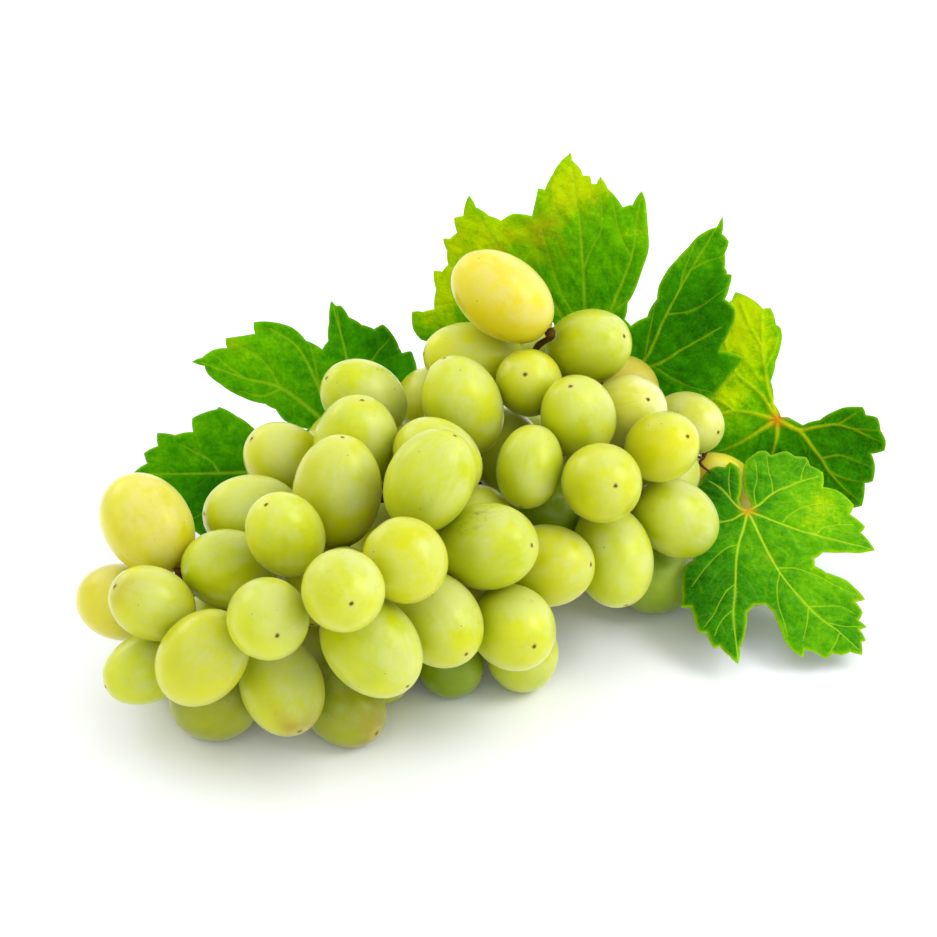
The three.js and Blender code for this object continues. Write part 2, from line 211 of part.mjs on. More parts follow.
// The rachis: its main axis, branches and the small stalk of each berry. Points and a radius at each.
const LIMBS = [
  [[[-15.88, -12.75, 39.8], [-15.88, -6.75, 39.8]], [1.25, 1.25]],
  [[[36.62, 32.25, 32.3], [38.12, 33.75, 30.8]], [2.2, 2.2]],
  [[[13.57, 28.72, 66.79], [14.12, 29.25, 65.3], [10.19, 32.07, 60.8], [10.09, 32.63, 57.8], [12.72, 32.25, 51.8], [21.62, 32.25, 42.8]], [0.8, 0.8, 0.8, 0.8, 0.8, 0.8]],
  [[[-52.81, -41.33, 26.35], [-53.38, -39.75, 27.8], [-48.88, -35.25, 30.8]], [0.8, 0.8, 0.8]],
  [[[1.08, -14.24, 28.32], [-0.88, -12.75, 27.8], [2.12, -8.25, 27.8]], [0.8, 0.8, 0.8]],
  [[[35.76, 14.37, 35.87], [35.12, 14.25, 36.8], [38.12, 12.75, 39.8]], [0.8, 0.8, 0.8]],
  [[[-72.49, -29.93, 37.8], [-72.88, -30.75, 35.3], [-69.88, -27.75, 32.39], [-63.88, -22.31, 32.3], [-60.88, -21.75, 32.3], [-53.38, -21.84, 33.89], [-47.38, -25.68, 39.24], [-41.38, -27.75, 39.8]], [0.8, 0.8, 0.8, 0.8, 0.8, 0.8, 0.8, 0.8]],
  [[[-44.36, -9.22, 39.08], [-41.38, -8.25, 38.3], [-36.88, -6.65, 37.27], [-32.38, -2.25, 36.89], [-24.88, 3.66, 41.21], [-9.88, 3.75, 41.21], [-6.88, 3.75, 39.8]], [0.8, 0.8, 0.8, 0.8, 0.8, 0.8, 0.8]],
  [[[33.62, 11.25, 41.3], [44.12, 18.19, 41.21], [48.62, 18.75, 38.3]], [1.25, 1.25, 1.25]],
  [[[20.12, 20.25, 41.3], [20.12, 21.75, 41.3]], [1.25, 1.25]],
  [[[-18.16, -23.63, 9.71], [-18.88, -21.75, 12.8], [-8.47, -9.75, 24.71], [-1.91, -0.75, 27.89], [2.12, 2.25, 33.8]], [0.8, 0.8, 0.8, 0.8, 0.8]],
  [[[15.62, 32.25, 47.3], [21.62, 32.25, 42.8]], [1.25, 1.25]],
  [[[15.09, 8.64, 39.34], [14.12, 9.75, 41.3], [15.62, 17.25, 41.3]], [0.8, 0.8, 0.8]],
  [[[33.62, 23.25, 23.3], [35.22, 27.75, 23.3], [45.62, 38.25, 24.8]], [1.25, 1.25, 1.25]],
  [[[-3.88, 3.75, 36.8], [2.12, 2.25, 35.3]], [1.84, 1.84]],
  [[[8.15, 36.9, 53.28], [9.62, 36.75, 53.3], [15.62, 32.25, 47.3]], [0.8, 0.8, 0.8]],
  [[[-27.88, -39.75, 47.3], [-26.28, -24.75, 42.71], [-23.38, -17.25, 41.3]], [1.25, 1.25, 1.25]],
  [[[6.7, -27.42, 21.29], [6.62, -26.25, 23.3], [0.62, -20.25, 23.3]], [0.8, 0.8, 0.8]],
  [[[51.62, 36.75, 26.3], [53.12, 42.75, 27.8]], [1.48, 1.48]],
  [[[10.57, 1.54, 58.03], [9.62, 3.75, 57.8], [10.19, 8.25, 48.8], [18.53, 17.25, 41.86], [20.12, 20.25, 41.3]], [0.8, 0.8, 0.8, 0.8, 0.8]],
  [[[32.91, 1.57, 14.84], [32.12, 0.75, 15.8], [30.62, 8.25, 21.71], [30.72, 18.75, 21.89], [33.62, 23.25, 23.3]], [0.8, 0.8, 0.8, 0.8, 0.8]],
  [[[-21.71, 22.51, 45.82], [-18.88, 23.25, 45.8], [-11.38, 23.25, 48.71], [-3.88, 23.35, 48.8], [2.12, 27.75, 48.8]], [0.8, 0.8, 0.8, 0.8, 0.8]],
  [[[40.32, 44.61, 34.9], [41.12, 47.25, 33.8], [44.12, 48.66, 33.71], [47.12, 48.19, 32.21], [53.12, 42.75, 27.8]], [0.8, 0.8, 0.8, 0.8, 0.8]],
  [[[-21.88, -15.75, 41.3], [-21.88, -14.25, 41.3]], [1.41, 1.41]],
  [[[-45.88, -35.25, 27.8], [-42.88, -35.25, 30.8]], [1.25, 1.25]],
  [[[20.12, 21.75, 41.3], [21.72, 29.25, 40.74], [27.62, 32.25, 38.3]], [2.08, 2.08, 2.13]],
  [[[48.62, 18.75, 38.3], [53.03, 26.25, 32.3], [53.12, 30.75, 28.36], [51.62, 36.75, 26.3]], [1.41, 1.41, 1.41, 1.41]],
  [[[-5.38, 3.75, 38.3], [-3.88, 3.75, 36.8]], [2.19, 2.19]],
  [[[-55.23, -48.25, 13.35], [-53.38, -47.25, 11.3], [-50.94, -44.25, 10.46], [-50.38, -37.31, 17.3], [-49.81, -36.28, 23.3], [-45.88, -35.25, 27.8]], [0.8, 0.8, 0.8, 0.8, 0.8, 0.8]],
  [[[-36.54, -50.7, 42.42], [-36.88, -48.75, 42.8], [-32.38, -44.25, 46.74], [-27.88, -39.75, 47.3]], [0.8, 0.8, 0.8, 0.8]],
  [[[53.36, 31.72, 25.29], [50.12, 32.25, 27.8], [51.62, 36.75, 26.3]], [0.8, 0.8, 0.8]],
  [[[38.12, 12.75, 39.8], [44.12, 14.72, 39.8], [48.62, 18.75, 38.3]], [1.25, 1.25, 1.25]],
  [[[-50.48, -27.45, 34.67], [-48.88, -26.25, 35.3], [-45.88, -27.28, 39.24], [-41.38, -27.75, 39.8]], [0.8, 0.8, 0.8, 0.8]],
  [[[-69.83, -39.35, 22.32], [-68.38, -38.25, 23.3], [-63.88, -35.34, 27.24], [-54.88, -35.25, 28.27], [-50.38, -35.25, 30.8]], [0.8, 0.8, 0.8, 0.8, 0.8]],
  [[[-11.38, -17.25, 44.3], [-14.28, -12.75, 42.89], [-14.28, -6.75, 42.8], [-11.38, -2.25, 42.71], [-6.88, 2.25, 39.8]], [1.25, 1.25, 1.25, 1.25, 1.25]],
  [[[50.12, 42.75, 26.3], [53.12, 42.75, 27.8]], [2.2, 2.2]],
  [[[-47.38, -39.75, 35.3], [-42.88, -35.25, 30.8]], [1.25, 1.25]],
  [[[25.84, 37.46, 46.78], [24.62, 35.25, 47.3], [27.72, 33.75, 39.89], [38.12, 33.75, 30.8]], [0.8, 0.8, 0.8, 0.8]],
  [[[-68.85, -41.82, 31.54], [-66.88, -41.25, 30.8], [-57.88, -40.78, 30.8], [-50.38, -35.25, 30.8]], [0.8, 0.8, 0.8, 0.8]],
  [[[33.72, 9.32, 43.5], [32.12, 11.25, 41.3], [33.62, 11.25, 41.3]], [0.8, 0.8, 0.8]],
  [[[-48.88, -35.25, 30.8], [-42.88, -35.25, 30.8]], [1.33, 1.33]],
  [[[-43.62, -35.5, 12.47], [-45.88, -33.75, 12.8], [-47.38, -33.75, 23.3], [-45.88, -35.25, 27.8]], [0.8, 0.8, 0.8, 0.8]],
  [[[-21.88, -14.25, 41.3], [-15.88, -6.75, 39.8]], [1.93, 1.93]],
  [[[2.12, 2.25, 33.8], [2.12, 2.25, 35.3]], [1.41, 1.41]],
  [[[2.12, 2.25, 35.3], [5.22, 6.75, 39.24], [15.62, 17.25, 41.3]], [2.19, 2.2, 2.2]],
  [[[26.12, 32.25, 39.8], [27.62, 32.25, 38.3]], [1.54, 1.54]],
  [[[34.38, 2.92, 37.62], [32.12, 2.25, 39.8], [32.69, 6.75, 39.8], [38.12, 12.75, 39.8]], [0.8, 0.8, 0.8, 0.8]],
  [[[-15.88, -6.75, 39.8], [-6.88, 2.25, 39.8]], [1.44, 1.44]],
  [[[2.12, -8.25, 27.8], [2.12, -2.25, 28.36], [2.12, 2.25, 33.8]], [1.33, 1.33, 1.33]],
  [[[-4.09, -17.47, 52.7], [-2.38, -18.75, 51.8], [-3.97, -19.12, 46.36], [-11.38, -17.25, 44.3]], [0.8, 0.8, 0.8, 0.8]],
  [[[-27.68, 20.43, 39.73], [-26.38, 18.75, 39.8], [-24.31, 11.25, 39.8], [-17.38, 3.75, 39.8]], [0.8, 0.8, 0.8, 0.8]],
  [[[21.62, 32.25, 42.8], [26.12, 32.25, 39.8]], [1.33, 1.33]],
  [[[-27.88, 6.75, 39.8], [-17.38, 3.75, 39.8]], [1.25, 1.25]],
  [[[-33.88, -24.75, 36.8], [-29.38, -21.75, 35.3]], [1.41, 1.41]],
  [[[14.23, 39.65, 53.84], [12.62, 38.25, 53.3], [15.62, 32.25, 47.3]], [0.8, 0.8, 0.8]],
  [[[-35.95, -57.93, 54.19], [-36.88, -54.75, 53.3], [-36.31, -50.25, 52.74], [-30.88, -44.25, 47.86], [-27.88, -39.75, 47.3]], [0.8, 0.8, 0.8, 0.8, 0.8]],
  [[[-26.33, -49.21, 62.92], [-26.38, -47.25, 63.8], [-24.97, -41.25, 54.8], [-24.88, -30.75, 44.39], [-23.38, -17.25, 41.3]], [0.8, 0.8, 0.8, 0.8, 0.8]],
  [[[22.3, 11.38, 44.91], [23.12, 12.75, 42.8], [20.12, 20.25, 41.3]], [0.8, 0.8, 0.8]],
  [[[-2.73, 8.9, 44.51], [-3.88, 8.25, 42.8], [-5.28, 6.66, 39.8], [-3.88, 3.75, 36.8]], [0.8, 0.8, 0.8, 0.8]],
  [[[-57.86, -57.11, 42.73], [-56.38, -54.75, 42.8], [-55.81, -48.75, 42.24], [-47.38, -39.75, 35.3]], [0.8, 0.8, 0.8, 0.8]],
  [[[-40.95, 9, 35.56], [-38.38, 8.25, 35.3], [-35.38, 7.22, 37.74], [-27.88, 6.75, 39.8]], [0.8, 0.8, 0.8, 0.8]],
  [[[-37.8, -23.21, 38.86], [-35.38, -24.75, 36.8], [-33.88, -24.75, 36.8]], [0.8, 0.8, 0.8]],
  [[[-8.13, -17.51, 42.8], [-9.88, -18.75, 44.3], [-11.38, -17.25, 44.3]], [0.8, 0.8, 0.8]],
  [[[-0.74, -26.6, 24.92], [-0.88, -24.75, 24.8], [0.62, -20.25, 23.3]], [0.8, 0.8, 0.8]],
  [[[23.12, 30.75, 41.3], [26.12, 32.25, 39.8]], [1.33, 1.33]],
  [[[9.78, 29.15, 50.08], [9.62, 30.75, 48.8], [15.62, 30.75, 43.92], [23.12, 30.75, 41.3]], [0.8, 0.8, 0.8, 0.8]],
  [[[22.17, -2.72, 45.07], [21.62, -0.75, 44.3], [26.12, 3.75, 41.39], [33.62, 11.25, 41.3]], [0.8, 0.8, 0.8, 0.8]],
  [[[27.29, 29.39, 39.22], [27.62, 30.75, 38.3], [36.62, 32.25, 32.3]], [0.8, 0.8, 0.8]],
  [[[-29.38, -21.75, 35.3], [-21.88, -14.25, 41.3]], [1.78, 1.78]],
  [[[15.62, 17.25, 41.3], [20.12, 21.75, 41.3]], [2.2, 2.2]],
  [[[-20.31, -35.54, 37.91], [-21.88, -33.75, 38.3], [-21.78, -20.25, 38.39], [-15.88, -12.75, 39.8]], [0.8, 0.8, 0.8, 0.8]],
  [[[24.97, 1.27, 35.7], [24.62, 2.25, 36.8], [25.19, 6.75, 36.24], [31.56, 14.25, 29.3], [33.62, 23.25, 23.3]], [0.8, 0.8, 0.8, 0.8, 0.8]],
  [[[-75.72, -29.16, 26.18], [-74.38, -29.25, 26.3], [-68.38, -24.84, 29.21], [-60.88, -24.18, 29.3], [-50.38, -14.25, 29.39], [-44.38, -9.84, 32.21], [-38.38, -9.75, 31.74], [-35.38, -9.65, 29.3], [-32.38, -8.15, 26.39], [-29.38, -5.25, 25.46], [-24.88, -1.31, 29.3], [-17.38, -0.75, 36.24], [-3.88, 3.75, 36.8]], [0.8, 0.8, 0.8, 0.8, 0.8, 0.8, 0.8, 0.8, 0.8, 0.8, 0.8, 0.8, 0.8]],
  [[[-52.92, -53.29, 44.46], [-53.38, -51.75, 44.3], [-52.81, -45.75, 40.83], [-47.38, -39.75, 35.3]], [0.8, 0.8, 0.8, 0.8]],
  [[[-42.88, -35.25, 30.8], [-38.38, -34.78, 28.36], [-33.97, -32.15, 28.27], [-29.38, -21.75, 35.3]], [1.59, 1.59, 1.59, 1.59]],
  [[[-17.38, 3.75, 39.8], [-6.88, 3.75, 39.8]], [1.33, 1.33]],
  [[[-41.38, -27.75, 39.8], [-33.88, -24.75, 36.8]], [1.33, 1.33]],
  [[[49.21, 40.59, 22.9], [48.62, 41.25, 24.8], [50.12, 42.75, 26.3]], [0.8, 0.8, 0.8]],
  [[[-23.38, -17.25, 41.3], [-21.88, -15.75, 41.3]], [1.33, 1.33]],
  [[[45.62, 38.25, 24.8], [50.12, 42.75, 26.3]], [2.2, 2.2]],
  [[[-6.88, 2.25, 39.8], [-5.38, 3.75, 38.3]], [2.07, 2.07]],
  [[[27.62, 32.25, 38.3], [30.62, 32.25, 37.74], [36.62, 32.25, 32.3]], [2.2, 2.2, 2.2]],
  [[[-50.38, -35.25, 30.8], [-48.88, -35.25, 30.8]], [1.25, 1.25]],
  [[[-20.98, -31.94, 50.35], [-21.88, -32.25, 48.8], [-21.88, -26.25, 43.36], [-21.88, -15.75, 41.3]], [0.8, 0.8, 0.8, 0.8]],
  [[[38.12, 33.75, 30.8], [45.62, 38.25, 24.8]], [2.06, 2.06]],
  [[[-33.69, 0.02, 39.72], [-33.88, 0.75, 38.3], [-27.88, 6.75, 39.8]], [0.8, 0.8, 0.8]],
  [[[-12.65, -26.21, 41.25], [-15.88, -24.75, 39.8], [-15.88, -12.75, 39.8]], [0.8, 0.8, 0.8]],
  [[[-9.88, 30.88, 45.46], [-8.38, 27.75, 47.3], [2.12, 27.75, 48.8]], [0.8, 0.8, 0.8]],
  [[[0.62, -20.25, 23.3], [0.62, -14.25, 23.86], [2.12, -8.25, 27.8]], [1.25, 1.25, 1.25]],
  [[[2.12, 27.75, 48.8], [23.12, 30.75, 41.3]], [1.25, 1.25]],
  [[[-43.15, -36.05, 42.97], [-42.88, -33.75, 41.3], [-41.38, -27.75, 39.8]], [0.8, 0.8, 0.8]],
  [[[-6.88, 3.75, 39.8], [-5.38, 3.75, 38.3]], [1.41, 1.41]],
  [[[50.78, 56.44, 26.04], [53.12, 42.75, 27.8]], [2.3, 2.1]],
];

// Leaves: where the stalk meets the blade, the blade's two directions and its upper side, how it bends,
// its outline in those two directions, and the points of its stalk.
const LEAVES = {
  leaf_left: {
    origin: [-36.96, 40.97, 28.77],
    across: [0.9953, 0.0824, -0.0507],
    along: [-0.0099, 0.6086, 0.7934],
    upper: [0.0962, -0.7892, 0.6066],
    bend: [-0.001030, 0.000017, -0.000992],
    outline: [[-50.9, -7.4], [-47.7, -5.2], [-48.5, -2.7], [-45.1, -1], [-45.3, 2.2], [-40.9, 1.7], [-36.5, 2.4], [-36.7, 5.8], [-30.6, 8], [-30.2, 8.6], [-25.7, 6.2], [-22.3, 3.8], [-20.1, 1.3], [-12.8, 0.3], [-8.3, 3], [-14.1, 5.1], [-16.2, 7.9], [-18.8, 9.2], [-24.8, 11.1], [-29.7, 14.1], [-32.9, 16.8], [-33.6, 18.7], [-36.7, 19.8], [-34.2, 20.8], [-31.5, 22.7], [-28.1, 23.2], [-28.4, 25.6], [-21.2, 26.7], [-21.5, 29.6], [-16.7, 29.6], [-11.8, 28.1], [-8.7, 25], [-4.7, 22.8], [-3.2, 24.8], [-2.9, 29.6], [-2.4, 34.9], [-1.2, 33.7], [0.1, 33.7], [2, 30.8], [5.2, 28.9], [8.2, 27.9], [10.4, 29.1], [12.7, 26.6], [14.4, 23.1], [15, 21.9], [17.3, 22.4], [18, 20.8], [18.7, 17.9], [15.4, 12.2], [11.4, 6.7], [7.4, 2.2], [3.4, -1.7], [-0.5, -5.2], [-5, -8.1], [-10.4, -12.5], [-18.2, -15.7], [-25.1, -21.3], [-33.7, -23.7], [-40.2, -19.2], [-46.6, -14.8]],
    petiole: [[-37.06, 41.76, 28.17], [-37.8, 42.33, 26.39], [-38.69, 42.91, 24.25], [-39.77, 43.57, 21.55], [-41.04, 44.39, 18.11], [-42.53, 45.45, 13.72], [-44.26, 46.81, 8.2], [-46.26, 48.55, 1.35]],
  },
  leaf_top: {
    origin: [23.66, 55.9, 41.35],
    across: [0.9954, 0.0823, -0.0487],
    along: [0.0396, 0.1092, 0.9932],
    upper: [0.0871, -0.9906, 0.1055],
    bend: [-0.000747, -0.000135, -0.000504],
    outline: [[-41.5, 6.4], [-43.6, 9.3], [-44, 13.9], [-41.3, 13.9], [-38.6, 14.8], [-38.3, 19.9], [-39.1, 24.8], [-37, 24.6], [-35.6, 26.5], [-36, 30.2], [-37.1, 33.3], [-35.4, 33.4], [-33.7, 34.9], [-34.6, 38.8], [-32.4, 39.3], [-31.6, 43.8], [-31.2, 44.7], [-29.4, 41.7], [-26.1, 39.4], [-23.2, 38.2], [-20.1, 40.1], [-15.7, 39.6], [-14.5, 46.6], [-12.8, 46.3], [-11, 50.4], [-9.7, 53], [-7.7, 55], [-7, 55.9], [-6.5, 53.8], [-4.4, 51.7], [-3.7, 50], [-2, 50], [-1.4, 47.9], [-0.2, 47.9], [0.6, 49.7], [2.6, 46.6], [6.5, 41.8], [8.8, 42.5], [10.9, 46.1], [12.2, 42.5], [13.3, 34], [13.3, 29.8], [11.4, 23], [9, 16.9], [8.5, 12.6], [10.1, 10.8], [14, 13.1], [16.2, 17.9], [16.7, 22.1], [20.3, 28.1], [25.4, 34.3], [30, 36.6], [31.3, 39.3], [31.4, 34.8], [33.2, 32.8], [32.4, 29.5], [32.6, 26.1], [33.3, 24.3], [34.5, 24], [34.2, 21.1], [33.2, 17.6], [35.9, 14.9], [35.7, 10.6], [32.8, 3.7], [38.8, 1.7], [36.5, -1.8], [32.3, -8], [28.2, -10.7], [21.6, -10], [13.5, -8.2], [4.8, -4.9], [0.1, -2.7], [-5.7, 3.8], [-9.3, 11.8], [-14.4, 9.6], [-22.6, 5.8], [-33.1, 4]],
    petiole: [[23.57, 56.89, 41.24], [24.11, 56.09, 38.24], [24.79, 54.82, 34.11], [25.52, 53.26, 29.01], [26.23, 51.62, 23.04], [26.85, 50.1, 16.36], [27.29, 48.91, 9.08], [27.5, 48.24, 1.35]],
  },
  leaf_right_back: {
    origin: [70.88, 54.81, 26.39],
    across: [0.9817, -0.1628, 0.0991],
    along: [0.0377, 0.6758, 0.7362],
    upper: [-0.1868, -0.7189, 0.6695],
    bend: [-0.001406, -0.000079, -0.001280],
    outline: [[-12.3, 31], [-11.5, 33.1], [-7.7, 31.5], [-4.3, 28.6], [-2.3, 28.7], [-0.9, 24.4], [0.3, 23.6], [0.7, 21], [-0.7, 15.1], [-1.8, 9.9], [-0.9, 4.3], [1, 0.8], [6.5, -1.3], [10.6, 0], [16.1, 3.1], [21.3, 3.4], [22.1, 1.4], [25, 0.7], [25.8, -2.6], [27.1, -5.1], [26.8, -7.5], [23.6, -8.4], [24.5, -11.2], [24.1, -15.3], [22.1, -15.7], [21.5, -21.4], [17.6, -22], [13.6, -19.5], [7.6, -16.6], [1.1, -14.6], [-4, -12.6], [-9.5, -11.1], [-16.1, -10.6], [-19.9, -8], [-21.8, -3.9], [-20.9, 1.1], [-19, 6.2], [-16.7, 12.9], [-15.4, 20.6], [-15.2, 28.8]],
    petiole: [[71.07, 55.53, 25.72], [74.48, 58.4, 23.79], [77.23, 60.73, 20.54], [79.71, 62.88, 16.75], [82.1, 65.02, 13.08], [84.4, 67.11, 9.3], [86.57, 69.14, 5.39], [88.61, 71.09, 1.35]],
  },
  leaf_right_front: {
    origin: [62.07, 22.59, 20.11],
    across: [0.9953, 0.0816, -0.0522],
    along: [-0.0632, 0.9554, 0.2885],
    upper: [0.0734, -0.2838, 0.9561],
    bend: [-0.001256, 0.000409, -0.000507],
    outline: [[-10.6, 9.5], [-9, 12.8], [-6.1, 14.9], [-4.1, 14.4], [-2.7, 16], [-0.9, 14.3], [-0.6, 10], [-0.8, 7.5], [-1.9, 3.9], [-1.7, 1.8], [-0.5, 0.5], [0.7, 0.7], [1.1, 2.3], [0.6, 4.6], [-0.1, 7.3], [0, 10.2], [1, 16], [4.6, 19.6], [6.6, 19.7], [7.7, 18.3], [11.9, 19.7], [13.7, 18.1], [16.5, 17.9], [17.1, 15.1], [20.1, 13], [19.5, 8.1], [22.9, 7.3], [26.6, 2.7], [25.2, -0.3], [28.5, -4.1], [27.3, -5.9], [30.1, -11.1], [24.9, -12.6], [17, -12.6], [14.6, -14.6], [14.5, -17.1], [17, -19.1], [21.6, -20.7], [23.6, -23.2], [25.7, -26.6], [23.1, -27.6], [24.6, -30.7], [23.4, -33], [25.1, -34.7], [23.3, -35.7], [24.4, -38.9], [23.3, -39.2], [22.9, -43.3], [20.1, -42.4], [17.8, -43.6], [15.8, -42.9], [14, -44.6], [11.8, -43.1], [9.2, -42.2], [8.5, -44.5], [6.7, -43.2], [5.1, -40.8], [4, -36.1], [2.9, -31.3], [1.3, -28.9], [-1.5, -29], [-3.6, -31.4], [-4.3, -36.1], [-6.4, -42], [-7.3, -46.7], [-9, -44.4], [-11.1, -41.4], [-12.6, -42], [-14, -37.5], [-15.7, -37.5], [-16.4, -32.1], [-16.9, -29.6], [-19.2, -29.6], [-18.5, -26.3], [-18.3, -22.3], [-17.2, -17.1], [-15, -15.3], [-13.6, -10.6], [-13.7, -4.3], [-14.2, 0.5], [-14.2, 5.4]],
    petiole: [[61.99, 22.87, 19.15], [62.63, 21.22, 14.86], [62.98, 20.27, 12.33], [63.07, 19.76, 10.86], [62.94, 19.42, 9.73], [62.64, 18.99, 8.24], [62.21, 18.2, 5.68], [61.68, 16.77, 1.35]],
  },
};

const wasm = await Module();
wasm.setup();

const vector = (a) => new THREE.Vector3(a[0], a[1], a[2]);

// A closed three.js geometry as a manifold-3d solid.
function solidOf(geometry) {
  const source = geometry.index ? geometry.toNonIndexed() : geometry;
  const position = source.getAttribute("position");
  const keys = new Map();
  const vertices = [];
  const triangles = [];
  for (let i = 0; i < position.count; i += 3) {
    const t = [];
    for (let k = 0; k < 3; k += 1) {
      const p = [position.getX(i + k), position.getY(i + k), position.getZ(i + k)];
      const key = p.map((v) => Math.round(v * 2000)).join(",");
      if (!keys.has(key)) {
        keys.set(key, vertices.length / 3);
        vertices.push(...p);
      }
      t.push(keys.get(key));
    }
    if (t[0] !== t[1] && t[1] !== t[2] && t[2] !== t[0]) triangles.push(...t);
  }
  return new wasm.Manifold(
    new wasm.Mesh({
      numProp: 3,
      vertProperties: new Float32Array(vertices),
      triVerts: new Uint32Array(triangles),
    }),
  );
}

// A manifold-3d solid as a three.js geometry.
function geometryOf(solid) {
  const mesh = solid.getMesh();
  const positions = new Float32Array(mesh.numVert * 3);
  for (let i = 0; i < mesh.numVert; i += 1)
    for (let k = 0; k < 3; k += 1) positions[3 * i + k] = mesh.vertProperties[i * mesh.numProp + k];
  const geometry = new THREE.BufferGeometry();
  geometry.setAttribute("position", new THREE.BufferAttribute(positions, 3));
  geometry.setIndex(new THREE.BufferAttribute(new Uint32Array(mesh.triVerts), 1));
  geometry.computeVertexNormals();
  return geometry;
}

// Joins solids two by two.
function joined(solids) {
  let list = solids;
  while (list.length > 1) {
    const next = [];
    for (let i = 0; i < list.length; i += 2)
      next.push(i + 1 < list.length ? list[i].add(list[i + 1]) : list[i]);
    list = next;
  }
  return list[0];
}

// A berry. One that rests on the ground has a small level flat there.
function berrySolid(centre, direction, halfLength, halfWidth) {
  const axis = vector(direction).normalize();
  const geometry = new THREE.SphereGeometry(1, BERRY_SEGMENTS, BERRY_RINGS);
  geometry.scale(halfWidth, halfLength, halfWidth);
  geometry.applyQuaternion(new THREE.Quaternion().setFromUnitVectors(new THREE.Vector3(0, 1, 0), axis));
  geometry.translate(centre[0], centre[1], centre[2]);
  const stretch = halfLength * halfLength - halfWidth * halfWidth;
  const depth = Math.sqrt(halfWidth * halfWidth + stretch * axis.z * axis.z);
  if (centre[2] - depth > 0) return solidOf(geometry);
  const lowX = centre[0] - (stretch * axis.z * axis.x) / depth;
  const lowY = centre[1] - (stretch * axis.z * axis.y) / depth;
  const points = [];
  const position = geometry.getAttribute("position");
  for (let i = 0; i < position.count; i += 1)
    if (position.getZ(i) > 0.5) points.push(new THREE.Vector3().fromBufferAttribute(position, i));
  for (let k = 0; k < FLAT_SIDES; k += 1) {
    const angle = (2 * Math.PI * k) / FLAT_SIDES;
    points.push(new THREE.Vector3(lowX + FLAT_RADIUS * Math.cos(angle), lowY + FLAT_RADIUS * Math.sin(angle), 0));
  }
  return solidOf(new ConvexGeometry(points));
}

// A stalk along points, with a radius at each.
function limbSolid(points, radii) {
  const path = points.map(vector);
  const first = path[0].clone().sub(path[1]).normalize().multiplyScalar(0.05);
  path[0].add(first);
  const tangents = path.map((p, i) => {
    const a = path[Math.max(0, i - 1)];
    const b = path[Math.min(path.length - 1, i + 1)];
    return b.clone().sub(a).normalize();
  });
  let normal = new THREE.Vector3(0.31, 0.52, 0.79).cross(tangents[0]).normalize();
  const rings = path.map((p, i) => {
    normal = normal.clone().sub(tangents[i].clone().multiplyScalar(normal.dot(tangents[i]))).normalize();
    const side = tangents[i].clone().cross(normal);
    return Array.from({ length: LIMB_SIDES }, (_, k) => {
      const angle = (2 * Math.PI * k) / LIMB_SIDES;
      return p
        .clone()
        .add(normal.clone().multiplyScalar(radii[i] * Math.cos(angle)))
        .add(side.clone().multiplyScalar(radii[i] * Math.sin(angle)));
    });
  });
  const faces = [];
  const face = (a, b, c) => faces.push(a.x, a.y, a.z, b.x, b.y, b.z, c.x, c.y, c.z);
  for (let i = 0; i + 1 < rings.length; i += 1)
    for (let k = 0; k < LIMB_SIDES; k += 1) {
      const m = (k + 1) % LIMB_SIDES;
      face(rings[i][k], rings[i][m], rings[i + 1][m]);
      face(rings[i][k], rings[i + 1][m], rings[i + 1][k]);
    }
  const last = rings[rings.length - 1];
  for (let k = 1; k + 1 < LIMB_SIDES; k += 1) {
    face(rings[0][0], rings[0][k + 1], rings[0][k]);
    face(last[0], last[k], last[k + 1]);
  }
  const geometry = new THREE.BufferGeometry();
  geometry.setAttribute("position", new THREE.BufferAttribute(new Float32Array(faces), 3));
  return solidOf(geometry);
}

// Splits every edge that is longer than the given length, until none is.
function refined(points, triangles, longest) {
  let list = triangles;
  for (let pass = 0; pass < 6; pass += 1) {
    const middles = new Map();
    const middle = (a, b) => {
      const long = Math.hypot(points[a][0] - points[b][0], points[a][1] - points[b][1]) > longest;
      if (!long) return -1;
      const key = a < b ? a + "-" + b : b + "-" + a;
      if (!middles.has(key)) {
        middles.set(key, points.length);
        points.push([(points[a][0] + points[b][0]) / 2, (points[a][1] + points[b][1]) / 2]);
      }
      return middles.get(key);
    };
    const next = [];
    for (const [a, b, c] of list) {
      const ab = middle(a, b);
      const bc = middle(b, c);
      const ca = middle(c, a);
      const cut = (ab >= 0) + (bc >= 0) + (ca >= 0);
      if (cut === 0) next.push([a, b, c]);
      else if (cut === 3) next.push([a, ab, ca], [ab, b, bc], [ca, bc, c], [ab, bc, ca]);
      else {
        // turned so that the first edge is cut and, of two cut edges, the second too
        let t = [a, b, c];
        let m = [ab, bc, ca];
        while (!(m[0] >= 0 && (cut === 1 || m[1] >= 0))) {
          t = [t[1], t[2], t[0]];
          m = [m[1], m[2], m[0]];
        }
        if (cut === 1) next.push([t[0], m[0], t[2]], [m[0], t[1], t[2]]);
        else next.push([m[0], t[1], m[1]], [t[0], m[0], m[1]], [t[0], m[1], t[2]]);
      }
    }
    if (!middles.size) break;
    list = next;
  }
  return list;
}

